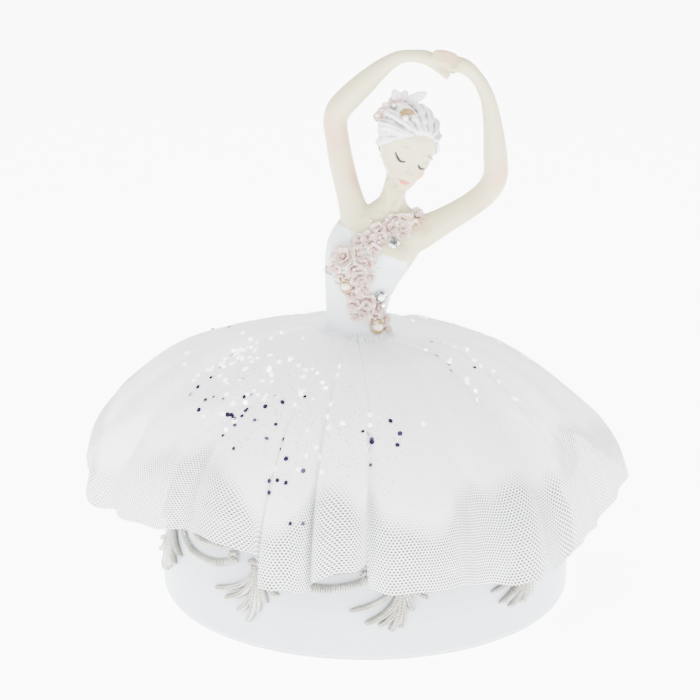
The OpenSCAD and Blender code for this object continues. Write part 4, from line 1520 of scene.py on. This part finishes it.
    def hair(self) -> BVHTree:
        """Swept-back hair: locks that run from the parting to a low chignon.

        Returns:
            The search tree of its surface.
        """
        bm = bmesh.new()
        bmesh.ops.create_uvsphere(bm, u_segments=300, v_segments=170, radius=1)
        groove = bm.verts.layers.float.new("groove")
        parting = Vector((-0.6, -9.0, 9.4)).normalized()
        bun = Vector((-0.5, 0.86, -0.16)).normalized()
        axis = (parting - bun).normalized()
        side = axis.cross(Vector((0, 0, 1))).normalized()
        over = axis.cross(side)
        bare = []
        for v in bm.verts:
            d = v.co.copy()
            z = self.head.rings[-1][0] * d.z
            half, face, back, middle = blend_keys(self.head.rings, z)
            flat = math.sqrt(max(1e-9, 1 - d.z * d.z))
            x, y = d.x / flat if flat > 1e-4 else 0.0, d.y / flat if flat > 1e-4 else 0.0
            body = Vector((middle + half * x, (face if y < 0 else back) * y, z))
            off = d - axis * d.dot(axis)
            turn = math.atan2(off.dot(over), off.dot(side))
            bend = turn + 0.05 * noise.noise(d * 2.0)
            lock = math.sin(self.locks * bend + 1.2)
            fine = math.sin(self.hairs * bend + 2.0 * math.sin(3 * bend))
            away = min(1.0, off.length * 1.9)
            lift = self.hair_thick + (0.42 * abs(lock) ** 0.5 * math.copysign(1, lock) + 0.13 * fine) * away
            edge = self.hairline(body)
            lift *= unit(edge / 1.6) ** 0.5
            # groove marks where painted shade darkens the hair
            v[groove] = unit((0.9 * max(0.0, -lock) ** 2.5 + 0.6 * max(0.0, -fine) ** 2) * away)
            v.co = body + body.normalized() * (lift - 0.15)
            if edge <= 0:
                bare.append(v)
        bmesh.ops.delete(bm, geom=bare, context="VERTS")
        bmesh.ops.solidify(bm, geom=bm.faces, thickness=0.5)
        bmesh.ops.transform(bm, matrix=self.head.matrix(), verts=bm.verts)
        self.chignon(bm)
        tree = BVHTree.FromBMesh(bm)
        Piece("hair_swept", "lid", "hair", Finishes.hair, ("figure_hair",)).build(bm)
        return tree

    def chignon(self, hair: bmesh.types.BMesh) -> None:
        """Adds the low bun at the back of the head, its locks wound in a swirl.

        Args:
            hair: The hair's mesh, in the box's frame.
        """
        bm = bmesh.new()
        bmesh.ops.create_uvsphere(bm, u_segments=96, v_segments=48, radius=1)
        groove = bm.verts.layers.float.new("groove")
        for v in bm.verts:
            swirl = math.sin(9 * math.atan2(v.co.y, v.co.x) + 6 * v.co.z)
            # groove marks where painted shade darkens the bun
            v[groove] = max(0.0, -swirl) ** 3 * 0.8
            v.co = v.co * (1 + 0.05 * swirl)
        place = (self.head.matrix() @ Matrix.Translation((-0.6, 13.6, -2.4))
                 @ Matrix.Rotation(math.radians(70), 4, "X"))
        bmesh.ops.transform(bm, matrix=place @ Matrix.Diagonal((6.2, 5.6, 4.6, 1)), verts=bm.verts)
        mesh = bpy.data.meshes.new("chignon")
        bm.to_mesh(mesh)
        bm.free()
        hair.from_mesh(mesh)
        bpy.data.meshes.remove(mesh)

    def hairline(self, p: Vector) -> float:
        """How far inside the hairline a scalp point lies.

        Args:
            p: The point, in head coordinates.

        Returns:
            The distance, negative outside.
        """
        if p.y > 3.0:
            return min(3.0, p.z + 11.0)
        peak = 10.0 - 0.05 * (p.x + 0.6) ** 2 * (1.1 if p.x < -0.6 else 1.0)
        drop = max(0.0, p.y + 8.5) * 0.95
        return p.z - (peak - drop)

    def build(self) -> tuple[BVHTree, BVHTree]:
        """Casts and paints the figure.

        Returns:
            The search trees of its skin and of its hair.
        """
        tree = self.cast()
        self.face(tree)
        return tree, self.hair()


@dataclass
class Flowers:
    """Cast flowers, buds, beads and stones of the sash and the hair."""

    skin: BVHTree
    hair: BVHTree
    sash: tuple[tuple[float, float, float, int], ...] = (
        # x, height, size, petals
        (19.5, 153.2, 3.1, 5), (14.6, 152.4, 3.4, 5), (11.2, 153.4, 2.6, 5), (14.4, 148.6, 2.8, 5),
        (9.0, 149.6, 3.3, 5), (4.8, 149.6, 2.8, 5), (5.6, 146.2, 2.6, 5), (1.2, 145.6, 3.3, 5),
        (-2.8, 145.0, 2.8, 5), (3.2, 141.8, 2.8, 5), (-3.6, 140.6, 3.0, 5), (-8.6, 139.6, 4.4, 8),
        (-11.8, 135.6, 2.8, 5), (-5.2, 135.2, 3.2, 5), (0.6, 136.8, 3.0, 5), (-9.2, 131.4, 2.8, 5),
        (-3.2, 130.8, 3.2, 5), (1.6, 131.4, 2.4, 5), (-1.2, 126.6, 3.2, 5), (-5.6, 124.2, 3.0, 5),
        (0.4, 121.4, 3.6, 5), (-4.8, 119.2, 2.8, 5), (4.4, 117.6, 2.8, 5), (-1.0, 116.0, 3.0, 5),
        (3.2, 113.4, 3.0, 5), (7.0, 111.6, 2.6, 5), (-4.0, 114.6, 2.2, 5), (7.4, 107.4, 2.4, 5))
    stones: tuple[tuple[float, float, float], ...] = (
        (10.6, 144.4, 2.5), (-13.6, 133.8, 2.0), (5.4, 123.0, 2.4), (-10.6, 129.4, 1.5), (6.2, 119.0, 1.6))
    pearls: tuple[tuple[float, float, float], ...] = ((-7.6, 127.4, 2.6), (4.0, 109.8, 2.7))
    spray: tuple[tuple[tuple[float, float, float], float, int], ...] = (
        # centre, size, petals
        ((6.9, -6.4, 194.9), 3.4, 8), ((11.6, -5.4, 199.6), 3.3, 5), ((8.9, -6.0, 197.4), 2.2, 5),
        ((4.8, -5.0, 193.8), 2.2, 5), ((18.6, -6.6, 197.6), 2.0, 5))
    leaves: tuple[tuple[float, float, tuple[float, float, float]], ...] = (
        # turn in degrees, length, root
        (20, 8.4, (15.4, -4.4, 200.2)), (118, 5.6, (13.0, -4.8, 199.6)), (160, 5.4, (11.0, -5.0, 197.0)),
        (60, 5.0, (13.0, -3.4, 199.4)))
    strays: int = 46  # small beads strewn along the sash
    claw_count: int = 6
    rim_beads: int = 18  # gilt grains round a pearl drop
    petal_thick: float = 0.22
    leaf_thick: float = 0.3
    crown: tuple[float, float, float] = (15.0, 2.0, 188.0)  # the spray faces away from here
    star: tuple[float, float] = (15.6, 196.6)  # middle of the gilt half star

    def on_skin(self, x: float, z: float) -> tuple[Vector, Vector]:
        """Finds the figure's skin in front of a place.

        Args:
            x: Place across.
            z: Height.

        Returns:
            The point and its outward direction.
        """
        hit, normal, _, _ = self.skin.ray_cast(Vector((x, -60, z)), Vector((0, 1, 0)))
        if hit is None:
            hit, normal, _, _ = self.skin.find_nearest(Vector((x, -12, z)))
        return hit, (normal + Vector((0, -0.6, 0.1))).normalized()

    def on_hair(self, x: float, z: float) -> Vector:
        """Point just in front of the hair at x and z, no further back than the spray."""
        hit = self.hair.ray_cast(Vector((x, -60, z)), Vector((0, 1, 0)))[0]
        return Vector((x, min(-8.0, hit.y - 0.5) if hit else -8.0, z))

    def blossom(self, bm: bmesh.types.BMesh, matrix: Matrix, size: float, petals: int, seed: int) -> None:
        """Adds a flower of cupped petals round a small heart.

        Args:
            bm: The mesh to add to.
            matrix: Places the flower, its face along local +Z.
            size: Radius of the open flower.
            petals: Petals in the outer ring.
            seed: Changes the flower's little irregularities.
        """
        rim = bm.verts.layers.float.get("rim") or bm.verts.layers.float.new("rim")
        chance = random.Random(seed)
        rings = [(petals, 1.0, 0.34)] + ([(petals - 3, 0.66, 0.7)] if petals > 5 else [(2, 0.5, 0.75)])
        for count, share, cup in rings:
            start = chance.uniform(0, TAU)
            for k in range(count):
                first = len(bm.verts)
                made = bmesh.ops.create_grid(bm, x_segments=7, y_segments=6, size=0.5, calc_uvs=False)
                a = start + TAU * k / count + chance.uniform(-0.12, 0.12)
                lift = cup + chance.uniform(-0.12, 0.12)
                for v in made["verts"]:
                    along, across = v.co.x + 0.5, v.co.y
                    v[rim] = along if share > 0.5 else 0.45 + 0.4 * along
                    width = size * share * 0.98 * (0.32 + 0.9 * arch(0.12 + 0.8 * along) ** 0.8)
                    r = size * share * (0.12 + 0.88 * along * (1 - 0.5 * across * across))
                    curled = 0.22 * along ** 4 * (1 - 2 * abs(across))
                    h = size * (lift * along ** 1.5 + 0.55 * across * across - curled)
                    v.co = Vector((r, across * width, h + 0.12 * size * (1 - share)))
                faces = list({f for v in made["verts"] for f in v.link_faces})
                bmesh.ops.solidify(bm, geom=faces, thickness=self.petal_thick)
                bm.verts.ensure_lookup_table()
                bmesh.ops.transform(bm, matrix=matrix @ Matrix.Rotation(a, 4, "Z"), verts=bm.verts[first:])
        heart = bmesh.ops.create_icosphere(bm, subdivisions=2, radius=size * 0.17,
                                           matrix=matrix @ Matrix.Translation((0, 0, size * 0.22)))
        for v in heart["verts"]:
            v[rim] = 0.3

    def stone(self, bm: bmesh.types.BMesh, matrix: Matrix, size: float) -> None:
        """Adds a cut stone: a table, a sloping crown and a girdle, eightfold.

        Args:
            bm: The mesh to add to.
            matrix: Places the stone, its table along local +Z.
            size: Radius of its girdle.
        """
        for low, high, h, z in ((1.0, 1.0, 0.25, 0.12), (1.0, 0.62, 0.4, 0.45)):
            bmesh.ops.create_cone(bm, cap_ends=True, segments=8, radius1=size * low, radius2=size * high,
                                  depth=size * h, matrix=matrix @ Matrix.Translation((0, 0, size * z)))

    def claws(self, bm: bmesh.types.BMesh, matrix: Matrix, size: float) -> None:
        """Adds the small claws that hold a stone.

        Args:
            bm: The mesh to add to.
            matrix: The stone's place.
            size: Radius of its girdle.
        """
        for k in range(self.claw_count):
            a = TAU * k / self.claw_count
            add_ball(bm, matrix @ Vector((size * 1.02 * math.cos(a), size * 1.02 * math.sin(a), size * 0.42)),
                     (size * 0.16,) * 3, detail=8)

    def build(self) -> None:
        """Builds the sash, its stones and pearls, and the hair's flowers and ribbon."""
        petals, stones, rims, beads, silver = (bmesh.new() for _ in range(5))
        for k, (x, z, size, count) in enumerate(self.sash):
            point, out = self.on_skin(x, z)
            spread = Vector((0.35 * math.sin(2.1 * k), 0, 0.35 * math.cos(1.7 * k)))
            place = Matrix.Translation(point + out * 0.5) @ aim(out + spread)
            self.blossom(petals, place, size * 1.14, count, k)
        chance = random.Random(5)
        for k in range(self.strays):
            x, z, size, _ = self.sash[k % len(self.sash)]
            point, out = self.on_skin(x + chance.uniform(-3.4, 3.4), z + chance.uniform(-3.2, 3.2))
            add_ball(beads, point + out * 1.1, (0.45 + 0.3 * chance.random(),) * 3, detail=8)
        for x, z, size in self.stones:
            point, out = self.on_skin(x, z)
            place = Matrix.Translation(point + out * 1.2) @ aim(out)
            self.stone(stones, place, size)
            self.claws(silver, place, size)
        for x, z, size in self.pearls:
            point, out = self.on_skin(x, z)
            place = Matrix.Translation(point + out * 1.6) @ aim(out)
            for k in range(self.rim_beads):
                a = TAU * k / self.rim_beads
                add_ball(rims, place @ Vector((size * 0.86 * math.cos(a), size * 0.86 * math.sin(a), 0)),
                         (size * 0.17, size * 0.17, size * 0.34), detail=8)
            add_ball(beads, place @ Vector((0, 0, size * 0.2)), (size * 0.76, size * 0.76, size * 0.6),
                     detail=20)
        Piece("sash_blossoms", "lid", "petal", Finishes.petal, ("sash_flowers_group",)).build(petals)
        Piece("sash_stones", "lid", "rhinestone", Finishes.rhinestone, ("sash_rhinestones",),
              smooth=False).build(stones)
        Piece("gilt_settings", "lid", "gold", Finishes.gold, ("gold_roses",)).build(rims)
        Piece("silver_claws", "lid", "rhinestone", Finishes.steel).build(silver)
        Piece("pearl_beads", "lid", "petal", Finishes.pearl_white).build(beads)
        self.hair_flowers()

    def hair_flowers(self) -> None:
        """Builds the spray at the side of the hair: blossoms, a gilt half star, pearls and ribbon leaves."""
        petals, gilt, ribbon, beads = bmesh.new(), bmesh.new(), bmesh.new(), bmesh.new()
        for k, (at, size, count) in enumerate(self.spray):
            out = (Vector(at) - Vector(self.crown)).normalized() + Vector((0, -0.8, 0))
            self.blossom(petals, Matrix.Translation(at) @ aim(out), size, count, 60 + k)
        for k in range(9):
            a = 0.15 + math.pi * k / 8
            for reach in (1.0, 1.9, 2.7):
                at = self.on_hair(self.star[0] + reach * math.cos(a),
                                  self.star[1] + 0.7 * reach * math.sin(a))
                add_ball(gilt, at, (0.85 - 0.16 * reach, 0.5, 0.42), Matrix.Rotation(-a, 4, "Y"), detail=8)
        for x, z, size in ((14.9, 195.6, 1.2), (4.4, 195.2, 0.8), (10.7, 199.2, 0.9)):
            add_ball(beads, self.on_hair(x, z), (size,) * 3, detail=14)
        for turn, long, at in self.leaves:
            made = bmesh.ops.create_grid(ribbon, x_segments=12, y_segments=6, size=0.5, calc_uvs=False)
            for v in made["verts"]:
                along, across = v.co.x + 0.5, v.co.y
                width = 4.0 * arch(0.1 + 0.84 * along) ** 0.7
                v.co = Vector((long * along, -1.2 * arch(along) + across * across * 1.5, across * width))
            matrix = Matrix.Translation(at) @ Matrix.Rotation(math.radians(-turn), 4, "Y")
            bmesh.ops.transform(ribbon, matrix=matrix, verts=made["verts"])
        bmesh.ops.solidify(ribbon, geom=ribbon.faces, thickness=self.leaf_thick)
        Piece("hair_blossoms", "lid", "petal", Finishes.petal, ("hair_flowers",)).build(petals)
        Piece("hair_gilt_heart", "lid", "gold", Finishes.gold).build(gilt)
        Piece("hair_pearls", "lid", "petal", Finishes.pearl_white).build(beads)
        Piece("hair_ribbon_leaves", "lid", "ribbon", Finishes.ribbon, ("hair_ribbon",)).build(ribbon)


# ---------------------------------------------------------------- the studio

@dataclass
class Studio:
    """Pale floor, soft light and the camera, in metres."""

    target: tuple[float, float, float] = (-0.0063, 0.0, 0.0975)
    distance: float = 1.0
    elevation: float = 18.3
    lens: float = 128.6
    sensor: float = 36.0
    floor_half: float = 12.0
    world: float = 1.15
    lights: tuple[tuple[str, tuple[float, float, float], float, float], ...] = (
        # name, place, size, watts
        ("key_soft", (-0.9, -1.1, 1.3), 0.9, 34), ("fill_soft", (1.2, -0.9, 0.9), 1.0, 14),
        ("top_soft", (0.0, 0.5, 1.7), 1.2, 34))

    def floor(self) -> None:
        """A plain pale floor that runs out of sight."""
        bm = bmesh.new()
        bmesh.ops.create_grid(bm, x_segments=2, y_segments=2, size=self.floor_half)
        mesh = bpy.data.meshes.new("studio_floor")
        bm.to_mesh(mesh)
        bm.free()
        floor = linked("studio_floor", mesh)
        mesh.materials.append(Finishes.floor.material())

    def light(self, name: str, place: Sequence[float], size: float, power: float) -> None:
        """Adds one large soft light aimed at the box.

        Args:
            name: The light's name.
            place: Where it stands.
            size: Its side.
            power: Its watts.
        """
        data = bpy.data.lights.new(name, "AREA")
        data.energy = power
        data.size = size
        lamp = linked(name, data)
        lamp.location = place
        lamp.rotation_euler = (Vector(self.target) - Vector(place)).to_track_quat("-Z", "Y").to_euler()

    def build(self) -> None:
        """Sets floor, lights, world and camera."""
        self.floor()
        for name, place, size, power in self.lights:
            self.light(name, place, size, power)
        world = bpy.data.worlds.new("studio_white")
        bpy.context.scene.world = world
        world.use_nodes = True
        back = world.node_tree.nodes["Background"]
        back.inputs["Color"].default_value = (1, 1, 1, 1)
        back.inputs["Strength"].default_value = self.world
        data = bpy.data.cameras.new("camera")
        data.lens = self.lens
        data.sensor_width = self.sensor
        camera = linked("camera", data)
        e = math.radians(self.elevation)
        place = Vector(self.target) + Vector((0, -math.cos(e), math.sin(e))) * self.distance
        camera.location = place
        camera.rotation_euler = (Vector(self.target) - place).to_track_quat("-Z", "Y").to_euler()
        bpy.context.scene.camera = camera


def dress_frame(record: dict, nodes: dict[str, bpy.types.Object]) -> None:
    """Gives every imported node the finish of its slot.

    Args:
        record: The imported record.
        nodes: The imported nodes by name.
    """
    for part in record["subparts"]:
        node = nodes[part["node"]]
        node.data.materials.clear()
        node.data.materials.append(Finishes.for_slot(part["material_slot"]).material())


# Hems, read all round: azimuth in degrees from the front towards +X, radius, height.
OUTER_HEM = (
    (-180, 105, 43), (-150, 108, 40), (-120, 113, 50), (-95, 114, 50), (-79, 110, 42), (-67, 105, 43),
    (-46, 101, 49), (-38, 97, 48), (-30, 93, 45), (-26, 95, 31), (-15, 94, 32), (-7, 91, 39), (-1, 90, 43),
    (3, 90, 32), (8, 91, 31), (20, 93, 32), (32, 95, 31), (41, 95, 29), (46, 94, 34), (53, 94, 27),
    (62, 95, 33), (70, 98, 37), (79, 103, 45), (92, 105, 44), (120, 105, 41), (150, 105, 42),
    (180, 105, 43))
UNDER_HEM = (
    (-180, 88, 52), (-120, 91, 55), (-80, 91, 56), (-50, 86, 57), (-30, 82, 56), (0, 79, 54), (30, 81, 52),
    (60, 83, 52), (90, 86, 54), (130, 87, 51), (180, 88, 52))


def main() -> None:
    logging.basicConfig(level=logging.INFO, format="%(name)s %(message)s")
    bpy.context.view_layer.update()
    dress_frame(frame["record"], frame["nodes"])
    Studio().build()
    bell = Bell.from_frame()
    Relief(bell).build()
    outer = SkirtLayer("tulle_outer", "skirt_outer", Finishes.tulle, OUTER_HEM, pleats=17, depth=2.8,
                       swing=0.75, seed=0.7, bell=bell, gap=2.6,
                       glitter=((-55, 0.35, 30, 1.0), (-20, 0.5, 22, 0.8), (5, 0.5, 14, 0.7),
                                (50, 0.3, 26, 0.6), (150, 0.4, 60, 0.6)))
    under = SkirtLayer("tulle_under", "skirt_underlayer", Finishes.tulle_inner, UNDER_HEM, pleats=17,
                       depth=0.9, swing=1.0, seed=2.3, bell=bell, gap=1.3, drop=6.0,
                       waist=(12.0, 102.0), across=700, down=40)
    under.build(["lid_bell"])
    outer.build(["lid_bell", "tulle_under"])
    Sequins(outer).build()
    WaistGather().build()
    skin, hair = Dancer().build()
    Flowers(skin, hair).build()


if __name__ == "__main__":
    main()
